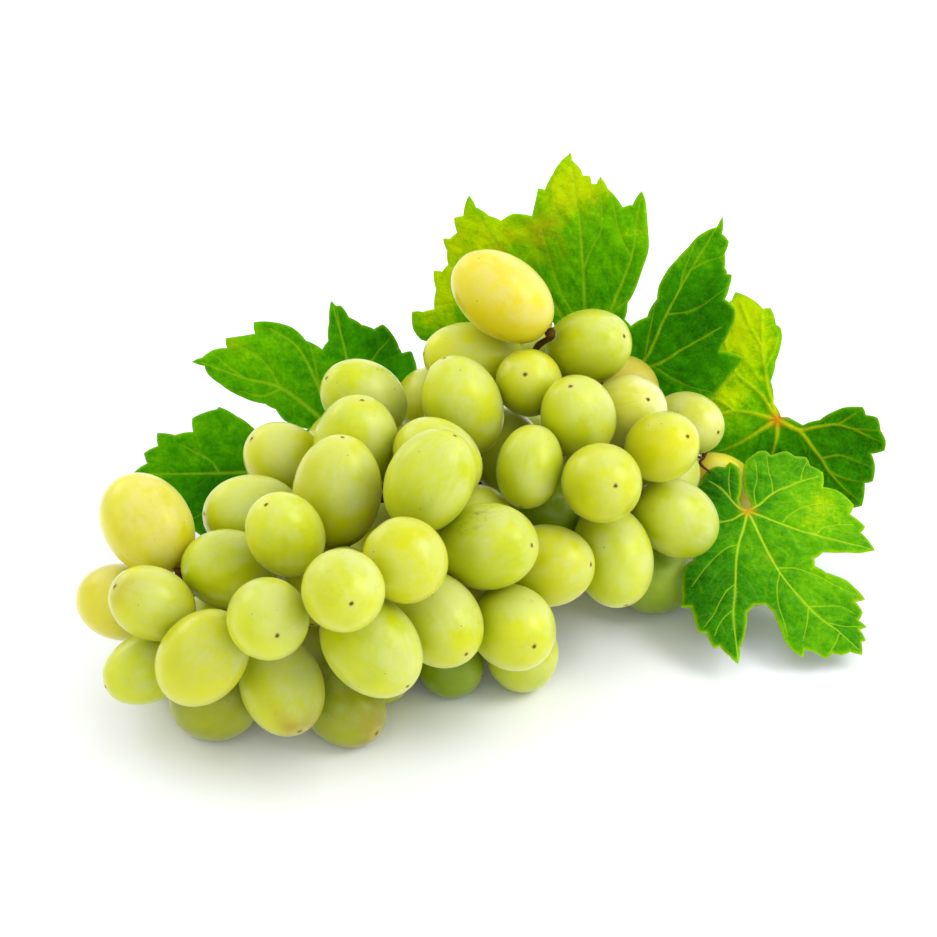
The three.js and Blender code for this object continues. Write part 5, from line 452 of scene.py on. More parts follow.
            ((-5.5, -22.7), (-8.4, -25.8), (-11.9, -32.4), (-14.4, -35.9)),
            ((-6.8, -30.7), (-9.9, -33.8), (-12.2, -38.6)),
            ((18.2, -37), (16.7, -40.4), (14.8, -43.4)),
            ((15.3, -34.3), (19.5, -35), (23.5, -34.9)),
            ((6.8, 5.7), (6.9, 9.6), (6.6, 12.9), (6.6, 18.3)),
            ((2.2, 1.4), (2.2, 6.2), (3.4, 10.5), (3.6, 15.8)),
            ((14.3, 9.9), (15, 13.1), (16.7, 16.8)),
            ((-3.9, 4), (-3.7, 9.5), (-2.9, 14.6)),
        ),
        "petiole": ((61.99, 22.87, 19.15), (62.63, 21.22, 14.86), (62.98, 20.27, 12.33), (63.07, 19.76, 10.86), (62.94, 19.42, 9.73), (62.64, 18.99, 8.24), (62.21, 18.2, 5.68), (61.68, 16.77, 1.35)),
        "bold": 0.78,
        "fine": 0.12,
        "fade": 0.4,
        "raised": False,
        "tone": 0.37,
        # patches of the blade that are lighter or darker: place, radius, how much
        "patches": ((19.1, 0.7, 11.9, 0.46), (10.7, 14.1, 8.6, 0.08), (14.8, -21.3, 11.0, 0.26), (5.9, -39.6, 9.0, 0.16), (-15.7, -27.6, 13.1, -0.34), (-8.1, 6.9, 7.1, -0.40), (22.4, -33.0, 7.1, 0.12), (-6.1, -39.7, 6.0, -0.05)),
        # dry, yellowed places
        "spots": ((24.9, -26.9, 2.4, 0.30), (3.7, -15.4, 1.9, 0.30)),
    },
}

SCARS = {"berry_01": 0.0, "berry_02": 0.0, "berry_04": 0.0, "berry_08": 0.0, "berry_06": 0.35, "berry_30": 0.5, "berry_48": 0.0}
# berry_37 has begun to turn yellow; berry_40, berry_43 and berry_47 sit in shade and are given brighter skins, which
# are painted light
RIPE_AND_PAINTED_LIGHT = {"berry_37": "ripe", "berry_40": "yellow_painted_light", "berry_43": "green_painted_light", "berry_47": "green_painted_light"}
AMBER = {"berry_09": 0.9, "berry_03": 0.5, "berry_23": 0.8, "berry_01": 0.15}

CAMERA_PLACE = (-0.00588, -0.83779, 0.56992)
CAMERA_LENS = 161.366
CAMERA_DOWN = 32.0

WORLD = 1.25
LIGHTS = [
    ("window", (0.80, -0.20, 0.80), (0, 0, 0.04), (0.60, 0.60), 6.2, (1.0, 1.0, 1.0)),
    ("rim", (-0.75, 0.65, 0.55), (0, 0, 0.03), (0.55, 0.40), 1.5, (1.0, 1.0, 1.0)),
    ("front", (0.0, -1.0, 0.55), (0, 0, 0.03), (1.0, 0.6), 1.2, (1, 1, 1)),
]

MM = 0.001


# ---------------------------------------------------------------- helpers
def vec(a):
    return np.array(a, float)


def unit(a):
    return a / np.linalg.norm(a)


def make_mesh(name, verts, faces, materials, face_material=None, paint=None, smooth=True):
    """A mesh object, with verts in millimetres. paint is a colour for each vertex."""
    mesh = bpy.data.meshes.new(name)
    mesh.from_pydata([tuple(v * MM) for v in verts], [], [tuple(int(i) for i in f) for f in faces])
    mesh.update()
    for m in materials:
        mesh.materials.append(m)
    if face_material is not None:
        mesh.polygons.foreach_set("material_index", np.array(face_material, np.int32))
    if smooth:
        mesh.polygons.foreach_set("use_smooth", np.ones(len(mesh.polygons), bool))
    if paint is not None:
        layer = mesh.color_attributes.new("paint", "FLOAT_COLOR", "POINT")
        layer.data.foreach_set("color", np.array(paint, np.float32).ravel())
    obj = bpy.data.objects.new(name, mesh)
    bpy.context.scene.collection.objects.link(obj)
    return obj


def basis(direction):
    d = unit(vec(direction))
    other = vec((0, 0, 1)) if abs(d[2]) < 0.8 else vec((1, 0, 0))
    a = unit(np.cross(other, d))
    return a, np.cross(d, a), d


# ---------------------------------------------------------------- berries
SIDES = 44


def arc_steps(p, q):
    """Angles from the free end to the stalk end, close together at both ends."""
    fine = [0.0, 0.12, 0.24, 0.36, 0.48, 0.60, 0.75, 0.95, 1.2, 1.55, 2.0, 2.6, 3.3]
    radius = q * q / p
    head = [s / radius for s in fine]
    tail = [math.pi - s / radius for s in (3.4, 2.6, 2.0, 1.5, 1.0, 0.5, 0.0)]
    middle = np.linspace(head[-1], tail[0], 26)[1:-1]
    return head + list(middle) + tail


def berry(centre, direction, p, q, seed, scar=1.0, amber=0.0, tone=0.5):
    """Vertices, faces and paint of one berry. Paint: scar, ring round it, amber flush, tone."""
    rng = np.random.default_rng(seed)
    a, b, d = basis(direction)
    phase = rng.uniform(0, 2 * math.pi, 6)
    steps = arc_steps(p, q)
    radius = q * q / p
    egg = rng.uniform(-0.010, 0.022)
    verts, paint = [], []
    phis = np.arange(SIDES) * 2 * math.pi / SIDES
    lean = rng.uniform(-0.25, 0.25, 2)
    for k, t in enumerate(steps):
        arc = t * radius
        back = (math.pi - t) * radius
        ring = [0.0] if k in (0, len(steps) - 1) else phis
        for phi in ring:
            r = q * math.sin(t) * (1 + egg * math.cos(t))
            r *= 1 + 0.006 * math.sin(2 * phi + phase[0]) + 0.003 * math.sin(3 * phi + phase[1] + 2 * t)
            h = p * math.cos(t)
            away = math.hypot(arc * math.cos(phi) - lean[0], arc * math.sin(phi) - lean[1])
            # the free end: a shallow dip, and in it a small corky nub with a rim
            h -= 0.20 * math.exp(-((away / 1.7) ** 2))
            h += 0.24 * math.exp(-((away / 0.36) ** 2)) * scar
            h += 0.05 * math.exp(-(((away - 0.85) / 0.25) ** 2)) * scar
            # the stalk end: a dip that the stalk's collar sits in
            h += 0.35 * math.exp(-((back / 1.9) ** 2))
            verts.append(vec(centre) + (a * math.cos(phi) + b * math.sin(phi)) * r + d * h)
            wobble = 1 + 0.22 * math.sin(3 * phi + phase[2]) + 0.12 * math.sin(5 * phi + phase[3])
            round_ = 1 + 0.10 * math.sin(2 * phi + phase[4]) + 0.06 * math.sin(3 * phi + phase[5])
            mark = scar * float(np.clip(1.75 - away / (0.30 * round_), 0, 1)) if t < 1 else 0.0
            halo = scar * math.exp(-(((away - 1.15) / 0.62) ** 2)) if t < 1 else 0.0
            flush = amber * math.exp(-((arc / (4.6 * wobble)) ** 2))
            stalk = math.exp(-((back / 2.4) ** 2)) if t > 2 else 0.0
            paint.append((mark, halo, flush, 0.15 + 0.6 * tone + 0.25 * stalk))
    n = len(steps)
    faces = []
    start = lambda k: 0 if k == 0 else 1 + (k - 1) * SIDES
    for k in range(n - 1):
        for i in range(SIDES):
            j = (i + 1) % SIDES
            if k == 0:
                faces.append((0, start(1) + i, start(1) + j))
            elif k == n - 2:
                faces.append((start(k) + i, start(n - 1), start(k) + j))
            else:
                faces.append((start(k) + i, start(k + 1) + i, start(k + 1) + j, start(k) + j))
    verts = np.array(verts)
    verts[:, 2] = np.maximum(verts[:, 2], 0.0)  # the small flat where it rests
    return verts, [tuple(reversed(f)) if HAND > 0 else f for f in faces], paint


HAND = -1


# direction of the side that gets the pale bloom as a painted highlight
PAINTED_HIGHLIGHT_DIRECTION = (0.50, -0.52, 0.68)


def skin_marks(verts, number):
    """Where a berry's bloom is rubbed away by what it lies against, with painted shade there too, the run of its
    fibres, and the side that gets a painted highlight.
    """
    centre, direction, p, q = ALL_BERRIES[number]
    a, b, d = basis(direction)
    rel = verts - vec(centre)
    x, y, z = rel @ a, rel @ b, rel @ d
    r = np.hypot(x, y) + 1e-9
    grain = np.stack([x / r + 3.1 * number, y / r, 0.32 * z / p + 1.7 * number], 1)
    gap = np.minimum(verts[:, 2], 12.0)
    for k, (c2, d2, p2, q2) in enumerate(ALL_BERRIES):
        if k == number or np.linalg.norm(vec(c2) - vec(centre)) > p + p2 + 9:
            continue
        rel = verts - vec(c2)
        far = np.linalg.norm(rel, axis=1)
        axial = rel @ unit(vec(d2))
        rho = np.sqrt(np.maximum(far**2 - axial**2, 0) / q2**2 + (axial / p2) ** 2)
        gap = np.minimum(gap, far * (1 - 1 / rho))
    # nearness to neighbours and the floor: the bloom is rubbed off there, and the same mask lays painted shade in the
    # gaps
    wear_and_shade = np.exp(-((np.maximum(gap, 0) / 2.6) ** 2))
    # the pale bloom is laid mostly on the side turned up and to the right, towards the camera and the window lamp: a
    # painted highlight
    out = (a * (x / q**2)[:, None] + b * (y / q**2)[:, None]) + d * (z / p**2)[:, None]
    out /= np.linalg.norm(out, axis=1)[:, None] + 1e-12
    painted_highlight = np.clip((out @ unit(vec(PAINTED_HIGHLIGHT_DIRECTION)) - 0.20) / 0.72, 0, 1)
    painted_highlight = painted_highlight * painted_highlight * (3 - 2 * painted_highlight)
    return wear_and_shade, grain, painted_highlight


def add_layers(obj, wear_and_shade, grain, painted_highlight):
    layer = obj.data.attributes.new("painted_highlight", "FLOAT", "POINT")
    layer.data.foreach_set("value", np.asarray(painted_highlight, np.float32))
    layer = obj.data.attributes.new("wear_and_shade", "FLOAT", "POINT")
    layer.data.foreach_set("value", np.array(wear_and_shade, np.float32))
    layer = obj.data.attributes.new("grain", "FLOAT_VECTOR", "POINT")
    layer.data.foreach_set("vector", np.array(grain, np.float32).ravel())


# ---------------------------------------------------------------- stalks
def smooth_path(points, radii, step=0.9):
    """Rounds the corners of a path and samples it evenly."""
    P = np.array(points, float)
    R = np.array(radii, float)
    for _ in range(3):
        if len(P) < 3:
            break
        Q, S = [P[0]], [R[0]]
        for i in range(len(P) - 1):
            if i > 0:
                Q.append(0.75 * P[i] + 0.25 * P[i + 1])
                S.append(0.75 * R[i] + 0.25 * R[i + 1])
            if i < len(P) - 2:
                Q.append(0.25 * P[i] + 0.75 * P[i + 1])
                S.append(0.25 * R[i] + 0.75 * R[i + 1])
        Q.append(P[-1])
        S.append(R[-1])
        P, R = np.array(Q), np.array(S)
    length = np.concatenate([[0], np.cumsum(np.linalg.norm(np.diff(P, axis=0), axis=1))])
    count = max(3, int(length[-1] / step) + 1)
    s = np.linspace(0, length[-1], count)
    return np.stack([np.interp(s, length, P[:, k]) for k in range(3)], 1), np.interp(s, length, R), s


def limb(points, radii, seed, sides=12, collar=False, cut=False, tone=0.0):
    """A stalk. collar: its first end widens into the collar that a berry sits on. cut: its last end is a cut face."""
    rng = np.random.default_rng(seed)
    P, R, s = smooth_path(points, radii)
    ph = rng.uniform(0, 6.28, 4)
    tang = np.gradient(P, axis=0)
    tang /= np.linalg.norm(tang, axis=1)[:, None] + 1e-12
    normal = unit(np.cross((0.31, 0.52, 0.79), tang[0]))
    if collar:
        s2 = s[:, None] * 0 + s[:, None]
        R = R + 0.62 * np.exp(-((s / 0.75) ** 2)) + 0.16 * np.exp(-(((s - 1.4) / 0.5) ** 2))
    verts, paint, faces = [], [], []
    for i, (c, t, r) in enumerate(zip(P, tang, R)):
        normal = unit(normal - t * (normal @ t))
        side = np.cross(t, normal)
        for k in range(sides):
            a = 2 * math.pi * k / sides
            rr = r * (1 + 0.06 * math.sin(3 * a + ph[0] + 0.5 * s[i]) + 0.07 * math.sin(1.3 * s[i] + ph[1]) + 0.04 * math.sin(5 * a + ph[2] - 0.9 * s[i]))
            verts.append(c + (normal * math.cos(a) + side * math.sin(a)) * rr)
            brown = 0.5 + 0.5 * math.sin(0.35 * s[i] + ph[3])
            end = math.exp(-((s[i] / 1.4) ** 2)) if collar else 0.0
            paint.append((float(np.clip(brown * 0.6 + tone, 0, 1)), end, 0.0, 1.0))
    n = len(P)
    for i in range(n - 1):
        for k in range(sides):
            m = (k + 1) % sides
            faces.append((i * sides + k, i * sides + m, (i + 1) * sides + m, (i + 1) * sides + k))
    for i, turn in ((0, -1), (n - 1, 1)):
        c = len(verts)
        verts.append(P[i] + tang[i] * turn * R[i] * 0.18)
        paint.append((1.0 if cut else paint[i * sides][0], paint[i * sides][1], 1.0 if cut else 0.0, 1.0))
        for k in range(sides):
            m = (k + 1) % sides
            faces.append((c, i * sides + k, i * sides + m) if turn > 0 else (c, i * sides + m, i * sides + k))
    verts = np.array(verts)
    verts[:, 2] = np.maximum(verts[:, 2], 0.02)
    return verts, faces, paint


def combine(parts):
    verts, faces, paint, which = [], [], [], []
    base = 0
    for v, f, p, m in parts:
        verts.append(v)
        faces += [tuple(i + base for i in x) for x in f]
        paint += list(p)
        which += [m] * len(f)
        base += len(v)
    return np.vstack(verts), faces, paint, which


# ---------------------------------------------------------------- leaves
def inside(points, polygon):
    x, y = points[:, 0][:, None], points[:, 1][:, None]
    x0, y0 = polygon[:, 0][None], polygon[:, 1][None]
    x1, y1 = np.roll(polygon[:, 0], -1)[None], np.roll(polygon[:, 1], -1)[None]
    with np.errstate(divide="ignore", invalid="ignore"):
        crosses = ((y0 > y) != (y1 > y)) & (x < (x1 - x0) * (y - y0) / (y1 - y0) + x0)
    return crosses.sum(1) % 2 == 1


def to_segments(points, lines):
    """Distance from each point to the nearest of the lines, and how far along its line that is, 0 to 1."""
    best = np.full(len(points), 1e9)
    along = np.zeros(len(points))
    width = np.zeros(len(points))
    for line, w0, w1 in lines:
        L = np.array(line, float)
        seg = np.linalg.norm(np.diff(L, axis=0), axis=1)
        total = seg.sum()
        run = 0.0
        for i in range(len(L) - 1):
            a, b = L[i], L[i + 1]
            u = np.clip(((points - a) @ (b - a)) / max(1e-9, seg[i] ** 2), 0, 1)
            d = np.linalg.norm(points - a - u[:, None] * (b - a), axis=1)
            f = (run + u * seg[i]) / total
            w = w0 + (w1 - w0) * f
            nearer = d / w < best
            best = np.where(nearer, d / w, best)
            along = np.where(nearer, f, along)
            width = np.where(nearer, w, width)
            run += seg[i]
    return best, along, width


def curve_through(points, n=5):
    """A smooth line through the points."""
    P = np.array(points, float)
    if len(P) < 3:
        return P
    out = []
    Q = np.vstack([2 * P[0] - P[1], P, 2 * P[-1] - P[-2]])
    for i in range(1, len(Q) - 2):
        for u in np.linspace(0, 1, n, endpoint=False):
            out.append(0.5 * ((2 * Q[i]) + (Q[i + 1] - Q[i - 1]) * u + (2 * Q[i - 1] - 5 * Q[i] + 4 * Q[i + 1] - Q[i + 2]) * u * u + (3 * Q[i] - Q[i - 1] - 3 * Q[i + 1] + Q[i + 2]) * u ** 3))
    out.append(P[-1])
    return np.array(out)


def leaf_shape(leaf, seed, cell=0.52, thickness=0.42):
    """The blade: vertices, faces, paint (vein, stem end, rim, tone) and which side each face is on."""
    rng = np.random.default_rng(seed)
    bold = leaf["bold"]
    outline = np.array(leaf["outline"], float)
    if ((outline[:, 0] * np.roll(outline[:, 1], -1) - np.roll(outline[:, 0], -1) * outline[:, 1]).sum()) < 0:
        outline = outline[::-1]
    # a fine edge, with the sides between the teeth slightly full
    edge = []
    for i in range(len(outline)):
        a, b = outline[i], outline[(i + 1) % len(outline)]
        L = np.linalg.norm(b - a)
        n = max(1, int(round(L / 0.55)))
        out = np.array([(b - a)[1], -(b - a)[0]]) / max(L, 1e-9)
        for k in range(n):
            u = k / n
            full = 0.045 * L * 4 * u * (1 - u) if 1.0 < L < 7 else 0.0
            small = 0.16 * math.sin(math.pi * min(1.0, L / 3)) * (rng.uniform(-0.5, 0.5)) if 0 < k < n else 0.0
            edge.append(a + (b - a) * u + out * (full + small))
    edge = np.array(edge)
    main = [(curve_through(v), 0.38 * bold, 0.14) for v in leaf["veins"][: leaf["mains"]]]
    second = [(curve_through(v), 0.21 * bold, 0.10) for v in leaf["veins"][leaf["mains"] :]]
    # side veins that branch off towards the edge
    third = []
    for line, w0, w1 in main + second:
        strong = w0 > 0.3 * bold
        L = np.concatenate([[0], np.cumsum(np.linalg.norm(np.diff(line, axis=0), axis=1))])
        s = 4.0 + rng.uniform(0, 2)
        flip = 1 if rng.uniform() < 0.5 else -1
        while s < L[-1] - 2:
            i = min(len(line) - 2, max(0, int(np.searchsorted(L, s)) - 1))
            o = line[i] + (line[i + 1] - line[i]) * ((s - L[i]) / max(1e-9, L[i + 1] - L[i]))
            t = unit(line[i + 1] - line[i])
            for sign in (flip, -flip):
                ang = sign * math.radians(rng.uniform(46, 60))
                way = np.array([t[0] * math.cos(ang) - t[1] * math.sin(ang), t[0] * math.sin(ang) + t[1] * math.cos(ang)])
                pts = [o]
                bend = -sign * math.radians(rng.uniform(3, 8))
                reach = rng.integers(5, 9) if strong else rng.integers(3, 6)
                for _ in range(reach):
                    way = np.array([way[0] * math.cos(bend) - way[1] * math.sin(bend), way[0] * math.sin(bend) + way[1] * math.cos(bend)])
                    nxt = pts[-1] + way * 1.5
                    if not inside(nxt[None], edge)[0]:
                        break
                    if len(pts) > 1:
                        near, _, _ = to_segments(nxt[None], [(m[0], 1, 1) for m in main + second + third if m[0] is not line])
                        if near[0] < 1.1:
                            break
                    pts.append(nxt)
                if len(pts) > 2:
                    third.append((np.array(pts), 0.12, 0.07))
            s += rng.uniform(3.6, 5.4)
            flip = -flip
    # points: the edge, along each vein and on both its sides, and a grid between
    rail = []
    for line, w0, w1 in main + second + third:
        L = np.concatenate([[0], np.cumsum(np.linalg.norm(np.diff(line, axis=0), axis=1))])
        s = np.arange(0.25, L[-1], 0.42)
        P = np.stack([np.interp(s, L, line[:, 0]), np.interp(s, L, line[:, 1])], 1)
        T = np.gradient(P, axis=0)
        T /= np.linalg.norm(T, axis=1)[:, None] + 1e-9
        side = np.stack([-T[:, 1], T[:, 0]], 1)
        w = (w0 + (w1 - w0) * s / L[-1])[:, None]
        for k in (0, 1.0, -1.0, 1.8, -1.8) if w0 > 0.15 * bold else (0, 2.2, -2.2):
            rail.append(P + side * w * k)
    rail = np.vstack(rail)
    rail = rail[inside(rail, edge)]
    # thin out the points that crowd together
    def thin(points, taken, gap):
        kept = []
        cells = {}
        for p in taken:
            cells.setdefault((int(p[0] // gap), int(p[1] // gap)), []).append(p)
        for p in points:
            c = (int(p[0] // gap), int(p[1] // gap))
            if any((p[0] - o[0]) ** 2 + (p[1] - o[1]) ** 2 < gap * gap for x in (-1, 0, 1) for y in (-1, 0, 1) for o in cells.get((c[0] + x, c[1] + y), ())):
                continue
            cells.setdefault(c, []).append(p)
            kept.append(p)
        return np.array(kept).reshape(-1, 2)

    rail = thin(rail, edge, 0.17)
    lo, hi = edge.min(0), edge.max(0)
    gx, gy = np.meshgrid(np.arange(lo[0], hi[0], cell), np.arange(lo[1], hi[1], cell * 0.866))
    gx = gx + (np.arange(gx.shape[0]) % 2)[:, None] * cell / 2
    grid = np.c_[gx.ravel(), gy.ravel()]
    grid = grid[inside(grid, edge)]
    grid = thin(grid, np.vstack([edge, rail]), 0.30)
    pts = np.vstack([edge, rail, grid])
    m = len(edge)
    made = mathutils.geometry.delaunay_2d_cdt([mathutils.Vector(p) for p in pts], [(i, (i + 1) % m) for i in range(m)], [], 1, 1e-6)
    flat = np.array([tuple(v) for v in made[0]])
    tris = np.array([tuple(t) for t in made[2]])
    a, b, c = flat[tris[:, 0]], flat[tris[:, 1]], flat[tris[:, 2]]
    turn = (b[:, 0] - a[:, 0]) * (c[:, 1] - a[:, 1]) - (b[:, 1] - a[:, 1]) * (c[:, 0] - a[:, 0])
    tris[turn < 0] = tris[turn < 0][:, ::-1]
    tris = tris[np.abs(turn) > 1e-9]
    d1, along, width = to_segments(flat, main)
    d2, along2, w2 = to_segments(flat, main + second)
    d3, _, w3 = to_segments(flat, main + second + third)
    rim, _, _ = to_segments(flat, [(np.vstack([edge, edge[:1]]), 1, 1)])
    near = np.minimum(d3 * w3, 6.0)
    # the blade swells between its veins, and the edge waves a little
    swell = 0.26 * (1 - np.exp(-((near / 1.6) ** 2))) * np.clip(rim / 2.5, 0, 1)
    groove = 0.11 * np.exp(-((d2 * w2 / 0.5) ** 2)) * np.clip(rim / 1.5, 0.15, 1) + 0.045 * np.exp(-((d3 * w3 / 0.4) ** 2)) * np.clip(rim / 1.5, 0, 1)
    ph = rng.uniform(0, 6.28, 6)
    wave = 0.16 * np.sin(flat[:, 0] * 0.42 + ph[0]) * np.sin(flat[:, 1] * 0.37 + ph[1]) + 0.09 * np.sin(flat[:, 0] * 1.1 + ph[2] + flat[:, 1] * 0.8)
    lift = swell * 0.8 - groove + wave - 0.12
    k1, k2, k3 = leaf["bend"]
    bend = k1 * flat[:, 0] ** 2 + k2 * flat[:, 0] * flat[:, 1] + k3 * flat[:, 1] ** 2
    O, A, B, N = (vec(leaf[k]) for k in ("origin", "across", "along", "upper"))
    raised = leaf["raised"]
    mid = O + flat[:, :1] * A + flat[:, 1:] * B + (bend + np.clip(-lift if raised else lift, -0.38, 0.38))[:, None] * N
    ridge = (0.26 * np.exp(-((d2 * w2 / 0.5) ** 2)) * np.clip(rim / 1.2, 0.1, 1) + 0.04 * np.exp(-((d3 * w3 / 0.3) ** 2))) * np.clip(1.15 - 0.5 * along, 0.4, 1)
    half = thickness / 2 * np.clip(rim / 0.8, 0.35, 1)
    top = mid + (half + (ridge if raised else 0))[:, None] * N
    under = mid - (half + (0 if raised else ridge))[:, None] * N
    fade = 1 - leaf["fade"] * np.where(d1 < 1.6, along**0.6, np.minimum(1.0, 0.65 + 0.35 * along2))
    vein = np.clip(np.maximum(np.exp(-((d1 / 1.05) ** 4)), np.maximum(0.72 * np.exp(-((d2 / 1.05) ** 4)), leaf["fine"] * np.exp(-((d3 / 1.2) ** 2)))) * fade, 0, 1)
    stem = np.exp(-((np.linalg.norm(flat, axis=1) / 1.7) ** 2))
    rims = np.exp(-((rim / 0.55) ** 2))
    tone = np.full(len(flat), leaf["tone"])
    for x, y, r, v in leaf["patches"]:
        tone += v * np.exp(-(((flat[:, 0] - x) ** 2 + (flat[:, 1] - y) ** 2) / (r * r)))
    tone = np.clip(tone, 0, 1)
    paint = [(float(a), float(b), float(c), float(d)) for a, b, c, d in zip(vein, stem, rims, tone)]
    sick = np.zeros(len(flat))
    for x, y, r, v in leaf["spots"]:
        sick = np.maximum(sick, v * np.exp(-(((flat[:, 0] - x) ** 2 + (flat[:, 1] - y) ** 2) / (r * r))))
    n = len(flat)
    tl = [tuple(int(i) for i in t) for t in tris]
    count = {}
    for t in tl:
        for i in range(3):
            count[(t[i], t[(i + 1) % 3])] = 1
    border = [e for e in count if (e[1], e[0]) not in count]
    faces = tl + [(a + n, c + n, b + n) for a, b, c in tl] + [(a, a + n, b + n, b) for a, b in border]
    side = [0] * len(tl) + [1] * len(tl) + [0] * len(border)
    return np.vstack([top, under]), faces, paint + paint, side, list(sick) * 2


# ---------------------------------------------------------------- materials
def new_material(name):
    m = bpy.data.materials.new(name)
    m.use_nodes = True
    nt = m.node_tree
    nt.nodes.clear()
    out = nt.nodes.new("ShaderNodeOutputMaterial")
    bsdf = nt.nodes.new("ShaderNodeBsdfPrincipled")
    nt.links.new(bsdf.outputs[0], out.inputs[0])
    return m, nt, bsdf


def noise(nt, coord, scale, detail=3.0, rough=0.5):
    n = nt.nodes.new("ShaderNodeTexNoise")
    n.inputs["Scale"].default_value = scale
    n.inputs["Detail"].default_value = detail
    n.inputs["Roughness"].default_value = rough
    nt.links.new(coord, n.inputs["Vector"])
    return n.outputs["Fac"]


def ramp(nt, fac, stops):
    r = nt.nodes.new("ShaderNodeValToRGB")
    e = r.color_ramp.elements
    while len(e) < len(stops):
        e.new(0.5)
    for x, (pos, col) in zip(e, stops):
        x.position = pos
        x.color = (col[0], col[1], col[2], 1) if hasattr(col, "__len__") else (col, col, col, 1)
    nt.links.new(fac, r.inputs[0])
    return r.outputs["Color"]


def mix(nt, fac, a, b, mode="MIX"):
    m = nt.nodes.new("ShaderNodeMix")
    m.data_type = "RGBA"
    m.blend_type = mode
    m.clamp_factor = True
    for sock, val in ((m.inputs[0], fac), (m.inputs[6], a), (m.inputs[7], b)):
        if isinstance(val, (int, float)):
            sock.default_value = val
        elif isinstance(val, tuple):
            sock.default_value = (*val, 1)
        else:
            nt.links.new(val, sock)
    return m.outputs[2]


def math_plain(nt, op, a, b=None):
    return math_node(nt, op, a, b, clamp=False)


def math_node(nt, op, a, b=None, clamp=None):
    m = nt.nodes.new("ShaderNodeMath")
    m.operation = op
    m.use_clamp = op in ("MULTIPLY", "ADD", "SUBTRACT") if clamp is None else clamp
    for sock, val in ((m.inputs[0], a), (m.inputs[1], b)):
        if val is None:
            continue
        if isinstance(val, (int, float)):
            sock.default_value = val
        else:
            nt.links.new(val, sock)
    return m.outputs[0]


def channels(nt, name="paint"):
    at = nt.nodes.new("ShaderNodeAttribute")
    at.attribute_name = name
    sep = nt.nodes.new("ShaderNodeSeparateColor")
    nt.links.new(at.outputs["Color"], sep.inputs[0])
    return sep.outputs[0], sep.outputs[1], sep.outputs[2], at.outputs["Alpha"]


def bump(nt, bsdf, height, strength, distance):
    b = nt.nodes.new("ShaderNodeBump")
    b.inputs["Strength"].default_value = strength
    b.inputs["Distance"].default_value = distance
    nt.links.new(height, b.inputs["Height"])
    nt.links.new(b.outputs[0], bsdf.inputs["Normal"])


def attribute(nt, name, output="Fac"):
    node = nt.nodes.new("ShaderNodeAttribute")
    node.attribute_name = name
    return node.outputs[output]


